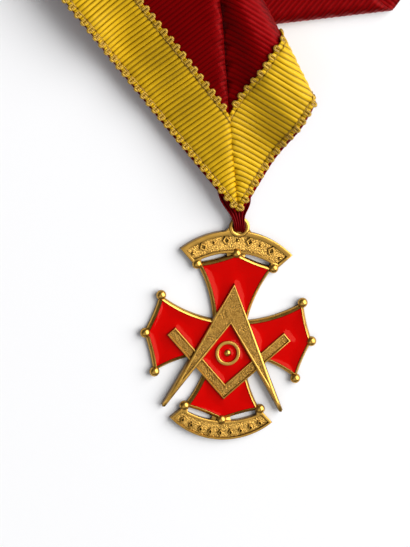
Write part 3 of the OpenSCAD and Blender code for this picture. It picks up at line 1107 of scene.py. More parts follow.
@dataclass
class EnamelFields:
    """The red enamel, which creeps up the metal round it."""

    plan: CrossPlan
    place: Place
    floor_z: float = 1.26
    top_z: float = 1.45
    gap: float = 0.06
    pitch: float = 0.5
    creep: float = 0.7
    creep_w: float = 2.6

    def fields(self) -> list[Field]:
        """Draws the fields of enamel.

        Returns:
            The six fields.
        """
        plan, gap = self.plan, self.gap
        arm = plan.arm_inside(plan.rim_w + gap)
        legs, square = grown(plan.compasses_filled, gap), grown(plan.square, gap)
        inside = circle(plan.ring_centre, plan.ring_r - plan.ring_w - gap, 32)
        outside = circle(plan.ring_centre, plan.ring_r + gap, 32)
        boss = circle(plan.ring_centre, plan.boss_r + gap, 20)
        return [Field("enamel_top", arm, [legs]),
                Field("enamel_left", turned(arm, 90), [legs, square]),
                Field("enamel_bottom", turned(arm, 180), [grown(plan.square_filled, gap)]),
                Field("enamel_right", turned(arm, 270), [legs, square]),
                Field("enamel_centre", grown(plan.diamond, -gap), [outside]),
                Field("enamel_ring", inside, [boss])]

    def build(self) -> list[bpy.types.Object]:
        """Builds the fields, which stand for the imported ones.

        Returns:
            The pieces.
        """
        pieces = []
        for part in self.fields():
            piece = finished(self._mesh(part), part.name + "_glaze", self.place, [ENAMEL], crease=50)
            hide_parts(part.name)
            pieces.append(piece)
        return pieces

    def _mesh(self, part: Field) -> bmesh.types.BMesh:
        """Builds one field as a closed body with a surface that rises towards the metal.

        Args:
            part: The field.

        Returns:
            Its mesh, in millimetres.
        """
        mesh = bmesh.new()
        mesh.faces.new([mesh.verts.new((p.x, p.y, self.top_z)) for p in part.outline])
        for bar in part.bars:
            for k, b in enumerate(bar):
                self._cut(mesh, b, right_of(b - bar[k - 1]))
        low = Vector((min(p.x for p in part.outline), min(p.y for p in part.outline)))
        high = Vector((max(p.x for p in part.outline), max(p.y for p in part.outline)))
        for axis in range(2):
            count = int((high[axis] - low[axis]) / self.pitch)
            for k in range(1, count + 1):
                spot = Vector(low)
                spot[axis] += (high[axis] - low[axis]) * k / (count + 1)
                self._cut(mesh, spot, Vector((1 - axis, axis)))
        metal = [face for face in mesh.faces
                 if any(is_inside(face.calc_center_median().xy, bar) for bar in part.bars)]
        bmesh.ops.delete(mesh, geom=metal, context="FACES")
        edges = [part.outline, *part.bars]
        for corner in mesh.verts:
            near = min(distance_to(corner.co.xy, edge) for edge in edges)
            corner.co.z = self.top_z + self.creep * math.exp(-near / self.creep_w)
        made = bmesh.ops.extrude_face_region(mesh, geom=list(mesh.faces), use_keep_orig=True)["geom"]
        for corner in (g for g in made if isinstance(g, bmesh.types.BMVert)):
            corner.co.z = self.floor_z
        bmesh.ops.recalc_face_normals(mesh, faces=mesh.faces)
        return mesh

    @staticmethod
    def _cut(mesh: bmesh.types.BMesh, spot: Vector, across: Vector) -> None:
        """Cuts every face along an upright plane."""
        bmesh.ops.bisect_plane(mesh, geom=[*mesh.verts, *mesh.edges, *mesh.faces], dist=1e-4,
                               plane_co=(spot.x, spot.y, 0), plane_no=(across.x, across.y, 0))


# Ribbon

class Run(NamedTuple):
    """One straight run of the folded ribbon: a corner of its outer edge and the lifts of its middle.

    Lifts are for the outer and the inner edge, at the start, at a place between, and at the end.
    """

    corner: Point
    start: Point
    mid_at: float
    mid: Point
    end: Point


# The first run is the right strap and the last one the left, and the mitre is between them
RUNS = [
    Run((1.6, 43.8), (5.4, 15.8), 0.5, (9.5, 16.4), (17.3, 17.9)),
    Run((25.0, 83.4), (11.9, 11.9), 0.5, (11.9, 11.9), (11.9, 11.9)),
    Run((5.8, 84.7), (8.3, 8.3), 0.5, (8.3, 8.3), (8.3, 8.3)),
    Run((5.8, 205), (6.3, 6.3), 0.5, (6.3, 6.3), (6.3, 6.3)),
    Run((60.3, 205), (0.5, 0.5), 0.5, (0.5, 0.5), (0.5, 0.5)),
    Run((-13.5, 102.3), (4.1, 4.1), 0.5, (3.6, 3.6), (1.65, 1.65)),
    Run((-142.4, 214.1), (3.9, 3.9), 0.5, (10.9, 13.2), (5.4, 15.8)),
]


@dataclass
class RibbonPath:
    """The folded loop of ribbon, as the surface in the middle of its cloth.

    A place on it is a run, the distance along that run from its corner, and the share of the
    width in from the outer edge. The runs lie face up and face down in turn.
    """

    runs: list[Run]
    width: float = 50.0
    mitre_share: float = 0.87
    seam_pull: float = 1.4
    seam_pull_across: Span = (0.1, 0.4)
    # The left strap drops between its wave and its end, at its outer edge
    droop: float = 5.4
    droop_down: Span = (0.62, 0.74)
    droop_up: Span = (1, 0.8)
    droop_across: Span = (0.5, 0)
    # The right strap climbs within a part of its length, earlier towards its inner edge
    climb_ease: float = 0.8
    climb_within: Span = (0.42, 0.88)
    climb_early: Span = (0.84, 0.45)
    # The right strap's inner part bulges over the last stretch before its fold
    crown: float = 1.3
    crown_from: float = 14.0
    crown_to: float = 7.0
    crown_across: Span = (0.4, 0.6)
    steepness: float = 1.6
    # The left strap's waves: the distance along it, and how high it bulges there
    left_waves: tuple[Point, ...] = ((118, 0.0), (131, 0.9), (137, 0.3), (144, 1.0), (153, 0.2),
                                     (170, 1.7), (179, 0.8), (185, 1.1), (208, 0.0), (223, 0.0))

    def __post_init__(self) -> None:
        """Works out the lines of the runs and of the folds."""
        count = len(self.runs)
        corners = [Vector(r.corner) for r in self.runs]
        ways = [corners[(k + 1) % count] - corners[k] for k in range(count)]
        self.count = count
        self.corners = corners
        self.lengths = [w.length for w in ways]
        self.along = [unit(w) for w in ways]
        self.face = [1 if k % 2 == 0 else -1 for k in range(count)]
        self.inwards = [right_of(a) * -f for a, f in zip(self.along, self.face)]
        self.span = [self._fold_span(k) for k in range(count)]
        self.slant = [abs(cross_2d(self.along[k], unit(self.span[k]))) for k in range(count)]
        self.starts = [sum(self.lengths[:k]) for k in range(count)]

    def _fold_span(self, i: int) -> Vector:
        """Finds the line of a fold.

        Args:
            i: The fold, which comes before run i.

        Returns:
            The way along it from the outer edge to the inner one.
        """
        a, b = self.inwards[i - 1], self.inwards[i]
        share = self.mitre_share if i == 0 else 1.0
        return Vector((share * b.y - a.y, a.x - share * b.x)) * (self.width / cross_2d(a, b))

    def fold_at(self, i: int, t: float) -> Vector:
        """Returns the place on fold i at share t across."""
        return self.corners[i] + self.span[i] * t

    def ends(self, i: int, t: float) -> tuple[float, float]:
        """Returns where run i starts and ends, along it, at share t across."""
        along, after = self.along[i], (i + 1) % self.count
        return t * self.span[i].dot(along), self.lengths[i] + t * self.span[after].dot(along)

    def lift(self, i: int, f: float, t: float) -> float:
        """Works out how high the cloth's middle lies.

        Args:
            i: The run.
            f: The share along it.
            t: The share across, from the outer edge.

        Returns:
            The height in millimetres.
        """
        run = self.runs[i]
        at = run.mid_at
        if i == 0:
            f = self._eased(f, t)
        shares = (f - at) * (f - 1) / at, f * (f - 1) / (at * (at - 1)), f * (f - at) / (1 - at)
        low, high = (a * shares[0] + b * shares[1] + c * shares[2]
                     for a, b, c in zip(run.start, run.mid, run.end))
        lift = low + (high - low) * math.sin(math.pi / 2 * max(t, 0)) ** self.steepness
        return lift - self._sunk(f, t) if i == self.count - 1 else lift

    def _eased(self, f: float, t: float) -> float:
        """Moves a share along the right strap, so that most of its climb comes in one stretch.

        Args:
            f: The share along the run.
            t: The share across.

        Returns:
            The share whose lift stands there.
        """
        start = max(0, self.climb_within[0] - self.climb_early[0] * t)
        end = self.climb_within[1] - self.climb_early[1] * t
        return f + self.climb_ease * (smooth_step(start, end, f) - f)

    def _sunk(self, f: float, t: float) -> float:
        """Works out how far the left strap droops.

        Args:
            f: The share along the run.
            t: The share across.

        Returns:
            The depth.
        """
        along = smooth_step(*self.droop_down, f) * smooth_step(*self.droop_up, f)
        return self.droop * along * smooth_step(*self.droop_across, t)

    def rise(self, i: int, t: float) -> float:
        """Returns how far the cloth climbs round fold i. The mitre is sewn flat."""
        return 0.0 if i == 0 else self.lift(i, 0, t) - self.lift(i - 1, 1, t)

    def reach(self, i: int, t: float) -> float:
        """Returns how far the half round of fold i takes up cloth on each side of its line."""
        return abs(self.rise(i, t)) / 2 * math.pi / 2

    def crown_at(self, left: float, t: float) -> float:
        """Returns how far the right strap's inner part bulges at that distance before its fold."""
        along = smooth_step(self.crown_from, self.crown_to, left) * smooth_step(0, self.crown_to, left)
        return self.crown * along * smooth_step(*self.crown_across, t)

    def wave(self, i: int, u: float) -> float:
        """Works out how far the left strap bulges up, where it lies in soft waves.

        Args:
            i: The run.
            u: The distance along it.

        Returns:
            The height in millimetres.
        """
        if i != self.count - 1:
            return 0.0
        for (u0, z0), (u1, z1) in zip(self.left_waves, self.left_waves[1:]):
            if u0 <= u < u1:
                return z0 + (z1 - z0) * (1 - math.cos(math.pi * (u - u0) / (u1 - u0))) / 2
        return 0.0

    def pull(self, i: int, u: float) -> float:
        """Works out how far the right strap is drawn in over the seam.

        Args:
            i: The run.
            u: The distance along it.

        Returns:
            The distance in millimetres.
        """
        share = min(max(u / self.lengths[0], 0), 1)
        return self.seam_pull * math.sin(math.pi * share) if i == 0 else 0.0

    def spot(self, i: int, u: float, t: float) -> tuple[Vector, Vector]:
        """Finds a place on the cloth.

        Args:
            i: The run.
            u: The distance along it from its corner, in millimetres.
            t: The share across, from the outer edge.

        Returns:
            The place and the direction that the cloth's front faces.
        """
        after = (i + 1) % self.count
        t += self.pull(i, u) / self.width * max(1 - t, 0) * smooth_step(*self.seam_pull_across, t)
        low, high = self.ends(i, t)
        near, far = self.reach(i, t), self.reach(after, t)
        start, end = low + near / self.slant[i], high - far / self.slant[after]
        if near and u < start:
            return self._on_roll(i, (u - low) * self.slant[i], t, self.along[i] * (u - low))
        if far and u > end:
            return self._on_roll(after, (u - high) * self.slant[after], t, self.along[i] * (u - high))
        f = (u - start) / (end - start)
        a = self.fold_at(i, t) + self.along[i] * (start - low)
        b = self.fold_at(after, t) - self.along[i] * (high - end)
        flat = a.lerp(b, f)
        bulge = self.crown_at(end - u, t) if i == 0 else self.wave(i, u)
        return Vector((flat.x, flat.y, self.lift(i, f, t) + bulge)), Vector((0, 0, self.face[i]))

    def _on_roll(self, i: int, gone: float, t: float, step: Vector) -> tuple[Vector, Vector]:
        """Finds a place on the half round of a fold.

        Args:
            i: The fold.
            gone: How far past the fold's line the place is, across it.
            t: The share across the ribbon.
            step: The way along the run from the line.

        Returns:
            The place and the direction that the cloth's front faces.
        """
        rise = self.rise(i, t)
        radius, up = abs(rise) / 2, math.copysign(1, rise)
        angle = gone / radius
        inside = unit(self.along[i] - self.along[i - 1])
        back = self.reach(i, t) - radius * math.cos(angle) - abs(gone)
        flat = self.fold_at(i, t) + step + inside * back
        z = (self.lift(i, 0, t) + self.lift(i - 1, 1, t)) / 2 + up * radius * math.sin(angle)
        out = Vector((-inside.x * math.cos(angle), -inside.y * math.cos(angle), up * math.sin(angle)))
        return Vector((flat.x, flat.y, z)), out * (-up * self.face[i - 1])


@dataclass
class RibbonCloth:
    """A band of the folded ribbon, woven with thick ribs across it.

    Its cloth has a row of points at each width in columns. At each fold, edge_in is how far in its
    outer edge lies, less than zero where the edge stands out.
    """

    path: RibbonPath
    place: Place
    name: str
    node: str
    slot: str
    finish: Grosgrain
    columns: tuple[float, ...]
    edge_in: tuple[float, ...]
    under: float
    thickness: float
    rib: float
    rib_rows: int
    rib_height: float
    rib_round: float = 0.75
    rib_sizes: Span = (0.8, 1.12)
    stitch_lines: tuple[float, ...] = ()
    stitch_pitch: float = 4.8
    stitch_w: float = 0.34
    stitch_press: float = 0.75
    hole_r: float = 0.32
    seam_sink: float = 0.9
    seam_w: float = 1.1
    seam_drag: float = 1.1
    seam_drag_w: float = 2.2
    seam_drag_from: float = 8.0
    inner_edge_held: bool = False
    weld: float = 0.015
    seed: int = 5

    def __post_init__(self) -> None:
        """Draws how thick each rib is."""
        draw = random.Random(self.seed)
        count = round(sum(self.path.lengths) / self.rib) + 2
        self.rib_size = [draw.uniform(*self.rib_sizes) for _ in range(count)]

    @property
    def width(self) -> float:
        """Returns the band's width."""
        return self.columns[-1]

    def build(self) -> bpy.types.Object:
        """Returns:
            The piece.
        """
        mesh = bmesh.new()
        mesh.loops.layers.uv.new(CLOTH_UV)
        mesh.verts.layers.float.new(CLOTH_SHADE)
        for i in range(self.path.count):
            add_part(mesh, self._run_mesh(i))
        bmesh.ops.remove_doubles(mesh, verts=mesh.verts, dist=self.weld)
        piece = finished(mesh, self.name, self.place, [self.finish], crease=80)
        give_wall(piece, self.thickness)
        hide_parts(self.node)
        middle = self.width / 2 / self.path.width
        ends = [self.path.ends(i, middle) for i in range(self.path.count)]
        return piece

    def across(self, i: int, u: float, w: float) -> float:
        """Works out where the band's own width falls on the whole ribbon's.

        Args:
            i: The run.
            u: The distance along it.
            w: The width in the band.

        Returns:
            The share across the ribbon.
        """
        f = min(max(u / self.path.lengths[i], 0), 1)
        edge = self.edge_in[i] + (self.edge_in[i + 1] - self.edge_in[i]) * f ** 3
        return (w + edge * (1 - w / self.width)) / self.path.width

    def rib_at(self, i: int, u: float, w: float) -> float:
        """Works out how high a rib stands.

        Args:
            i: The run.
            u: The distance along it.
            w: The width in the band.

        Returns:
            The share of a whole rib, less than zero in a stitch hole.
        """
        at = self.path.starts[i] + u
        size = self.rib_size[int(at // self.rib) % len(self.rib_size)]
        rib = size * math.sin(math.pi * (at / self.rib % 1)) ** self.rib_round
        hole = 0.0
        for line in self.stitch_lines:
            aside = (w - line) ** 2
            rib *= 1 - self.stitch_press * math.exp(-aside / self.stitch_w ** 2)
            off = (at + self.stitch_pitch / 2) % self.stitch_pitch - self.stitch_pitch / 2
            hole += math.exp(-(aside + off * off) / self.hole_r ** 2)
        return rib - hole

    def lift_at(self, i: int, u: float, t: float) -> float:
        """Works out how far the middle of the band's cloth stands off the path, without ribs.

        Args:
            i: The run.
            u: The distance along it.
            t: The share across the ribbon.

        Returns:
            The distance in millimetres.
        """
        low, high = self.path.ends(i, t)
        seam = u - low if i == 0 else high - u if i == self.path.count - 1 else math.inf
        sunk = self.seam_sink * math.exp(-(seam / self.seam_w) ** 2)
        return self.under + self.thickness / 2 - sunk

    def _dragged(self, i: int, u: float, w: float) -> tuple[float, float]:
        """Moves a place near the mitre's seam along the seam, towards its point.

        Args:
            i: The run.
            u: The distance along it.
            w: The width in the band.

        Returns:
            The place's new distance and width.
        """
        path = self.path
        held = self.inner_edge_held and w > self.width - 1e-6
        if held or i not in (0, path.count - 1):
            return u, w
        low, high = path.ends(i, w / path.width)
        away = (u - low if i == 0 else high - u) * path.slant[0]
        step = path.span[0]
        drag = self.seam_drag * math.exp(-max(away, 0) / self.seam_drag_w)
        share = drag * min(w / self.seam_drag_from, 1) / step.length
        return u - step.dot(path.along[i]) * share, w - path.width * share

    def _run_mesh(self, i: int) -> bmesh.types.BMesh:
        """Builds one run and folds it.

        Args:
            i: The run.

        Returns:
            Its mesh, in millimetres.
        """
        path, part = self.path, self._flat_run(i)
        layer = part.loops.layers.uv.new(CLOTH_UV)
        shade = part.verts.layers.float.new(CLOTH_SHADE)
        for face in part.faces:
            for loop in face.loops:
                loop[layer].uv = (path.starts[i] + loop.vert.co.x, loop.vert.co.y)
        for corner in part.verts:
            u, w = corner.co.x, corner.co.y
            rib = self.rib_at(i, u, w)
            # Painted shade: the colour follows this height, dark in the gaps between ribs, along the
            # pressed stitch lines and in the stitch holes, bright on the crests
            corner[shade] = min(max(rib, 0), 1)
            u, w = self._dragged(i, u, w)
            t = self.across(i, u, w)
            spot, front = path.spot(i, u, t)
            corner.co = spot + front * (self.lift_at(i, u, t) + self.rib_height * max(rib, -1))
        return part

    def _flat_run(self, i: int) -> bmesh.types.BMesh:
        """Builds one run as a flat grid with rows along its ribs, cut at its folds.

        Args:
            i: The run.

        Returns:
            The grid, with X along the run and Y across it, in millimetres.
        """
        path, step = self.path, self.rib / self.rib_rows
        start = path.starts[i]
        ends = [path.ends(i, w / path.width) for w in (self.columns[0], self.columns[-1])]
        first = math.floor((start + min(e[0] for e in ends)) / step)
        last = math.ceil((start + max(e[1] for e in ends)) / step)
        low_u, high_u = first * step - start, last * step - start
        count = len(self.columns) - 1
        to_place = (Matrix.Translation(((low_u + high_u) / 2, count / 2, 0))
                    @ Matrix.Diagonal(((high_u - low_u) / 2, count / 2, 1, 1)))
        part = bmesh.new()
        bmesh.ops.create_grid(part, x_segments=last - first, y_segments=count, size=1, matrix=to_place)
        for corner in part.verts:
            corner.co.y = self.columns[round(corner.co.y)]
        after = (i + 1) % path.count
        for start_u, span, side in ((0, path.span[i], 1), (path.lengths[i], path.span[after], -1)):
            slope = span.dot(path.along[i]) / path.width
            bmesh.ops.bisect_plane(part, geom=[*part.verts, *part.edges, *part.faces], dist=1e-4,
                                   plane_co=(start_u, 0, 0), plane_no=(side, -side * slope, 0),
                                   clear_inner=True)
        return part


class TrimEdge(Enum):
    """The two edges of the trim."""

    OUTER = "outer"
    INNER = "inner"


@dataclass
class TrimThreads:
    """The looped edge and the stitch line along both edges of the trim."""

    cloth: RibbonCloth
    place: Place
    loop_pitch: float = 3.2
    loop_r: float = 0.62
    thread_r: float = 0.52
    leg: float = 1.3
    leg_sink: float = 0.2
    loop_height: float = 0.5
    stitch_pitch: float = 4.8
    stitch_half: float = 0.46
    stitch_r: float = 0.2
    stitch_height: float = 0.3
    seam_gap: float = 0.9
    # Short steps along and across the trim, which show the directions there
    probe_u: float = 0.05
    probe_t: float = 0.002

    def build(self) -> list[bpy.types.Object]:
        """Builds the loops and the stitches.

        Returns:
            The pieces.
        """
        loop, stitch = self._loop_shape(), self._stitch_shape()
        outer, inner = self.cloth.stitch_lines
        made = []
        for edge, w, line in ((TrimEdge.OUTER, 0.0, outer), (TrimEdge.INNER, self.cloth.width, inner)):
            made.append(self._row(f"picots_{edge.value}", loop, edge, w, self.loop_pitch,
                                  self.loop_height))
            made.append(self._row(f"stitches_{edge.value}", stitch, edge, line, self.stitch_pitch,
                                  self.stitch_height))
        bpy.data.meshes.remove(loop)
        bpy.data.meshes.remove(stitch)
        return made

    def _loop_shape(self) -> bpy.types.Mesh:
        """Builds one loop of thread, a half ring with two legs.

        Returns:
            Its mesh, with X along the edge and Y out from it.
        """
        mesh = bmesh.new()
        stand = Matrix.Translation((self.loop_r, 0, 0)) @ Matrix.Rotation(math.pi / 2, 4, "X")
        section = bmesh.ops.create_circle(mesh, cap_ends=False, segments=6, radius=self.thread_r,
                                          matrix=stand)["verts"]
        bmesh.ops.spin(mesh, geom=section + list(mesh.edges), cent=(0, 0, 0), axis=(0, 0, 1), angle=math.pi,
                       steps=5, use_merge=False)
        ends = [e for e in mesh.edges if e.is_boundary]
        legs = bmesh.ops.extrude_edge_only(mesh, edges=ends)["geom"]
        feet = [g for g in legs if isinstance(g, bmesh.types.BMVert)]
        bmesh.ops.translate(mesh, vec=(0, -self.leg, -self.leg_sink), verts=feet)
        bmesh.ops.holes_fill(mesh, edges=[e for e in mesh.edges if e.is_boundary], sides=6)
        bmesh.ops.recalc_face_normals(mesh, faces=mesh.faces)
        return self._kept(mesh)

    def _stitch_shape(self) -> bpy.types.Mesh:
        """Builds one long stitch.

        Returns:
            Its mesh, along X.
        """
        mesh = bmesh.new()
        bmesh.ops.create_uvsphere(mesh, u_segments=6, v_segments=7, radius=self.stitch_r)
        lying = Matrix.Rotation(math.pi / 2, 3, "Y")
        bmesh.ops.rotate(mesh, cent=(0, 0, 0), matrix=lying, verts=mesh.verts)
        longer = self.stitch_half * self.stitch_pitch / self.stitch_r
        bmesh.ops.scale(mesh, vec=(longer, 1, 1), verts=mesh.verts)
        return self._kept(mesh)

    @staticmethod
    def _kept(mesh: bmesh.types.BMesh) -> bpy.types.Mesh:
        """Turns a scratch mesh to data that can be copied.

        Args:
            mesh: The mesh, which is freed.

        Returns:
            The data.
        """
        data = bpy.data.meshes.new("shape")
        mesh.to_mesh(data)
        mesh.free()
        return data

    def _row(self, name: str, shape: bpy.types.Mesh, edge: TrimEdge, w: float, pitch: float,
             height: float) -> bpy.types.Object:
        """Sets a shape along the trim, at one width.

        Args:
            name: The piece's name.
            shape: What is repeated.
            edge: The edge that the shape's Y points out from.
            w: The width of the trim at which the row lies.
            pitch: The distance from one to the next.
            height: The share of a rib at which they lie.

        Returns:
            The piece.
        """
        path = self.cloth.path
        out = -1 if edge is TrimEdge.OUTER else 1
        row = bmesh.new()
        for i in range(path.count):
            start = path.starts[i]
            low, high = path.ends(i, w / path.width)
            for k in range(math.ceil((start + low) / pitch - 0.5), math.ceil((start + high) / pitch)):
                u = (k + 0.5) * pitch - start
                if low + self._gap_at(i) <= u <= high - self._gap_at(i + 1):
                    before = len(row.verts)
                    row.from_mesh(shape)
                    row.verts.ensure_lookup_table()
                    stand = self._stand(i, u, w, out, height)
                    bmesh.ops.transform(row, matrix=stand, verts=row.verts[before:])
        piece = finished(row, name, self.place, [TRIM_THREAD], crease=80)
        return piece

    def _gap_at(self, i: int) -> float:
        """Returns how far a row keeps from fold i, which is nothing but at the mitre's seam."""
        return self.seam_gap if i % self.cloth.path.count == 0 else 0.0

    def _stand(self, i: int, u: float, w: float, out: int, height: float) -> Matrix:
        """Works out how a shape stands on the trim's front.

        Args:
            i: The run.
            u: The distance along it.
            w: The width in the trim.
            out: The side of the trim that the shape's Y points to, 1 for the inner one.
            height: The share of a rib at which it lies.

        Returns:
            The transform from the shape's own axes.
        """
        cloth, path = self.cloth, self.cloth.path
        t = cloth.across(i, u, w)
        spot, front = path.spot(i, u, t)
        ahead, _ = path.spot(i, u + self.probe_u, cloth.across(i, u + self.probe_u, w))
        along = unit(ahead - spot)
        side = unit(front.cross(along))
        beyond, _ = path.spot(i, u, t + out * self.probe_t)
        if side.dot(beyond - spot) < 0:
            side, along = -side, -along
        middle = spot + front * (cloth.lift_at(i, u, t) + cloth.thickness / 2 + cloth.rib_height * height)
        turn = Matrix((along, side, along.cross(side))).transposed().to_4x4()
        return Matrix.Translation(middle) @ turn


@dataclass
class GatheredLoop:
    """The gathered end of ribbon that comes from under the mitre and goes through the eye."""

    place: Place
    pleats: int = 5
    rows: int = 60
    columns: int = 60
    thickness: float = 0.4
    arch: float = 0.075
    flat_m: Point = (0.0105, 0.0275)
    uv_size: Point = (16.0, 9.0)
    # A short step between rows, which shows the line's direction there
    probe: float = 0.02
    line: tuple[tuple[float, float, float, float, float], ...] = (
        # Y, Z, middle, half width, depth of the pleats
        (54.0, 4.9, -4.4, 6.0, 0.12),
        (47.3, 4.5, -2.75, 5.2, 0.22),
        (42.6, 4.2, -1.5, 2.6, 0.34),
        (40.2, 3.9, -0.7, 1.95, 0.36),
        (37.9, 3.4, -0.1, 1.8, 0.3),
        (36.7, 2.1, 0.0, 1.6, 0.24),
        (37.5, 0.75, 0.0, 1.6, 0.14),
        (40.5, 0.45, -0.4, 1.9, 0.12),
        (43.2, 0.6, -0.8, 2.5, 0.12),
        (44.2, 1.6, -1.0, 3.0, 0.14),
        (44.6, 2.9, -1.1, 3.2, 0.14),
    )

    def build(self) -> bpy.types.Object:
        """Returns:
            The piece.
        """
        mesh = bmesh.new()
        layer = mesh.loops.layers.uv.new(CLOTH_UV)
        shade = mesh.verts.layers.float.new(CLOTH_SHADE)
        bmesh.ops.create_grid(mesh, x_segments=self.columns, y_segments=self.rows, size=1)
        for face in mesh.faces:
            for loop in face.loops:
                loop[layer].uv = (loop.vert.co.y * self.uv_size[0], loop.vert.co.x * self.uv_size[1])
        for corner in mesh.verts:
            # Painted light and shade: each pleat is coloured dark and light in step with its fold
            corner[shade] = 0.5 - 0.5 * math.cos(math.pi * self.pleats * corner.co.x)
            corner.co = self._spot(corner.co.x, (1 - corner.co.y) / 2)
        bmesh.ops.recalc_face_normals(mesh, faces=mesh.faces)
        piece = finished(mesh, "gathered_loop", self.place, [LOOP_CLOTH], crease=80)
        give_wall(piece, self.thickness)
        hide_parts("ribbon_loop")
        return piece

    def _spot(self, across: float, share: float) -> Vector:
        """Finds a place on the pleated cloth.

        Args:
            across: From -1 to 1 across it.
            share: From 0 to 1 along it.

        Returns:
            The place.
        """
        at = share * (len(self.line) - 1)
        k = min(int(at), len(self.line) - 2)
        y, z, middle, half, depth = self._smooth(k, at - k)
        before, beyond = self._smooth(k, at - k - self.probe), self._smooth(k, at - k + self.probe)
        normal = right_of(unit(Vector((beyond[0] - before[0], beyond[1] - before[1]))))
        fold = depth * math.cos(math.pi * self.pleats * across) - self.arch * half * across * across
        return Vector((middle + half * across, y - normal.x * fold, z - normal.y * fold))

    def _smooth(self, k: int, f: float) -> list[float]:
        """Reads the line between two of its rows, without corners.

        Args:
            k: The row before.
            f: The share from that row to the next.

        Returns:
            The five values of a row.
        """
        rows = self.line
        a, b = rows[max(k - 1, 0)], rows[k]
        c, d = rows[k + 1], rows[min(k + 2, len(rows) - 1)]
        return [0.5 * (2 * q + (r - p) * f + (2 * p - 5 * q + 4 * r - s) * f ** 2
                       + (3 * q - p - 3 * r + s) * f ** 3)
                for p, q, r, s in zip(a, b, c, d)]


# Studio

@dataclass(frozen=True)
class Softbox:
    """A panel of soft light: where it stands round the piece, its size and how bright it looks."""

    name: str
    bearing: float
    lean: float
    distance: float
    width: float
    height: float
    radiance: float


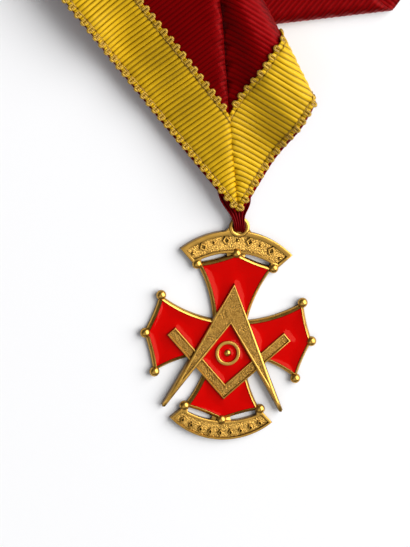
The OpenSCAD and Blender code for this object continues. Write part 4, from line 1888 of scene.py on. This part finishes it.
@dataclass
class Studio:
    """A white surface, soft light and the camera at the photo's angle."""

    origin: Vector
    aim: Point = (-8.305, 21.83)
    distance: float = 0.8
    tilt: float = 15.0
    toward: float = 135.0
    pixels_per_mm: float = 2.95
    picture_h: int = 547
    sensor_h: float = 24.0
    floor_size: float = 3.0
    floor_drop: float = 0.02
    ambient: float = 0.1
    ambient_tone: str = "F4F5F8"
    panels: tuple[Softbox, ...] = (
        Softbox("key_panel", bearing=20, lean=48, distance=4.4, width=5.8, height=4.2, radiance=4.15),
        Softbox("top_panel", bearing=315, lean=8, distance=4.4, width=6.4, height=6.4, radiance=0.36),
        Softbox("low_panel", bearing=222, lean=42, distance=4.4, width=2.4, height=2.4, radiance=0.7),
    )

    @property
    def look_at(self) -> Vector:
        """Returns the place in the middle of the picture."""
        return self.origin + Vector((*self.aim, 0)) * MM

    def build(self) -> None:
        """Builds the floor, the lights and the camera."""
        self._floor()
        self._lights()
        self._camera()
        view = bpy.context.scene.view_settings
        view.view_transform = "Standard"
        view.look = "None"

    def _floor(self) -> None:
        """Adds the surface that the piece lies on."""
        mesh = bmesh.new()
        bmesh.ops.create_grid(mesh, x_segments=1, y_segments=1, size=self.floor_size / 2)
        data = bpy.data.meshes.new("table")
        mesh.to_mesh(data)
        mesh.free()
        data.materials.append(CARD.material())
        floor = bpy.data.objects.new("table", data)
        bpy.context.scene.collection.objects.link(floor)
        floor.location = (0, 0, -self.floor_drop * MM)

    def _lights(self) -> None:
        """Adds a very large soft light on the right, weaker ones round it and a dim even one."""
        for panel in self.panels:
            self._softbox(panel)
        world = bpy.data.worlds.new("studio")
        bpy.context.scene.world = world
        world.use_nodes = True
        sky = world.node_tree.nodes["Background"]
        sky.inputs["Color"].default_value = linear(self.ambient_tone)
        sky.inputs["Strength"].default_value = self.ambient

    def _softbox(self, panel: Softbox) -> None:
        """Adds a rectangular area light that points at the piece.

        Args:
            panel: What it is like.
        """
        light = bpy.data.lights.new(panel.name, "AREA")
        light.shape = "RECTANGLE"
        light.size, light.size_y = panel.width, panel.height
        light.energy = panel.radiance * math.pi * panel.width * panel.height
        lamp = bpy.data.objects.new(panel.name, light)
        bpy.context.scene.collection.objects.link(lamp)
        bearing, lean = math.radians(panel.bearing), math.radians(panel.lean)
        aside = math.sin(lean)
        way = Vector((math.cos(bearing) * aside, math.sin(bearing) * aside, math.cos(lean)))
        lamp.location = self.look_at + way * panel.distance
        lamp.rotation_euler = (-way).to_track_quat("-Z", "Y").to_euler()

    def _camera(self) -> None:
        """Adds the camera."""
        data = bpy.data.cameras.new("camera")
        data.sensor_fit = "VERTICAL"
        data.sensor_height = self.sensor_h
        data.lens = self.pixels_per_mm * self.distance / MM / self.picture_h * self.sensor_h
        data.clip_start = 0.05
        camera = bpy.data.objects.new("camera", data)
        bpy.context.scene.collection.objects.link(camera)
        bearing = math.radians(self.toward)
        axis = Vector((-math.sin(bearing), math.cos(bearing), 0))
        turn = Matrix.Rotation(math.radians(self.tilt), 4, axis)
        back = Matrix.Translation((0, 0, self.distance))
        camera.matrix_world = Matrix.Translation(self.look_at) @ turn @ back
        bpy.context.scene.camera = camera


def main() -> None:
    """Builds the object in its order, and the studio round it."""
    logging.basicConfig(level=logging.INFO, format="%(name)s: %(message)s")
    mount = next(m for m in frame["record"]["mounts"] if m["name"] == "back_rest")
    cross_at = Vector(mount["pos_m"])
    on_medal = Place(cross_at, turn=MEDAL_TURN)
    on_ribbon = Place(cross_at)
    Studio(origin=cross_at).build()
    plan = CrossPlan()
    path = RibbonPath(RUNS)
    ribbon = RibbonCloth(path, on_ribbon, "red_ribbon", "ribbon", "ribbon_red", RIBBON_CLOTH,
                         columns=(0, 1, 3, 7, 12, 17, 21, 25, 29, 33, 37, 41, 45, 48, 50),
                         edge_in=(-1.2, -0.6, 0, 0, 0, 0, 0, -1.2), under=-0.25, thickness=0.5,
                         rib=1.45, rib_rows=4, rib_height=0.14, inner_edge_held=True)
    trim = RibbonCloth(path, on_ribbon, "yellow_trim", "ribbon_trim", "trim_yellow", TRIM_CLOTH,
                       columns=(0, 0.4, 0.8, 1.1, 1.35, 1.6, 1.85, 2.1, 4.5, 7.5, 10.4, 13.3, 16.3,
                                18.7, 18.95, 19.2, 19.45, 19.7, 20, 20.4, 20.8),
                       edge_in=(0, 0, 0, 0, 0, 0, 0, 0), under=0.5, thickness=0.5,
                       rib=1.6, rib_rows=5, rib_height=0.46, stitch_lines=(1.6, 19.2))
    pieces = [GiltCasting(plan, on_medal).build(), *EnamelFields(plan, on_medal).build()]
    pieces += [ribbon.build(), trim.build(), *TrimThreads(trim, on_ribbon).build()]
    pieces.append(GatheredLoop(on_medal).build())
    for piece in pieces:
        LOG.info("%s: %d faces", piece.name, len(piece.data.polygons))


if __name__ == "__main__":
    main()
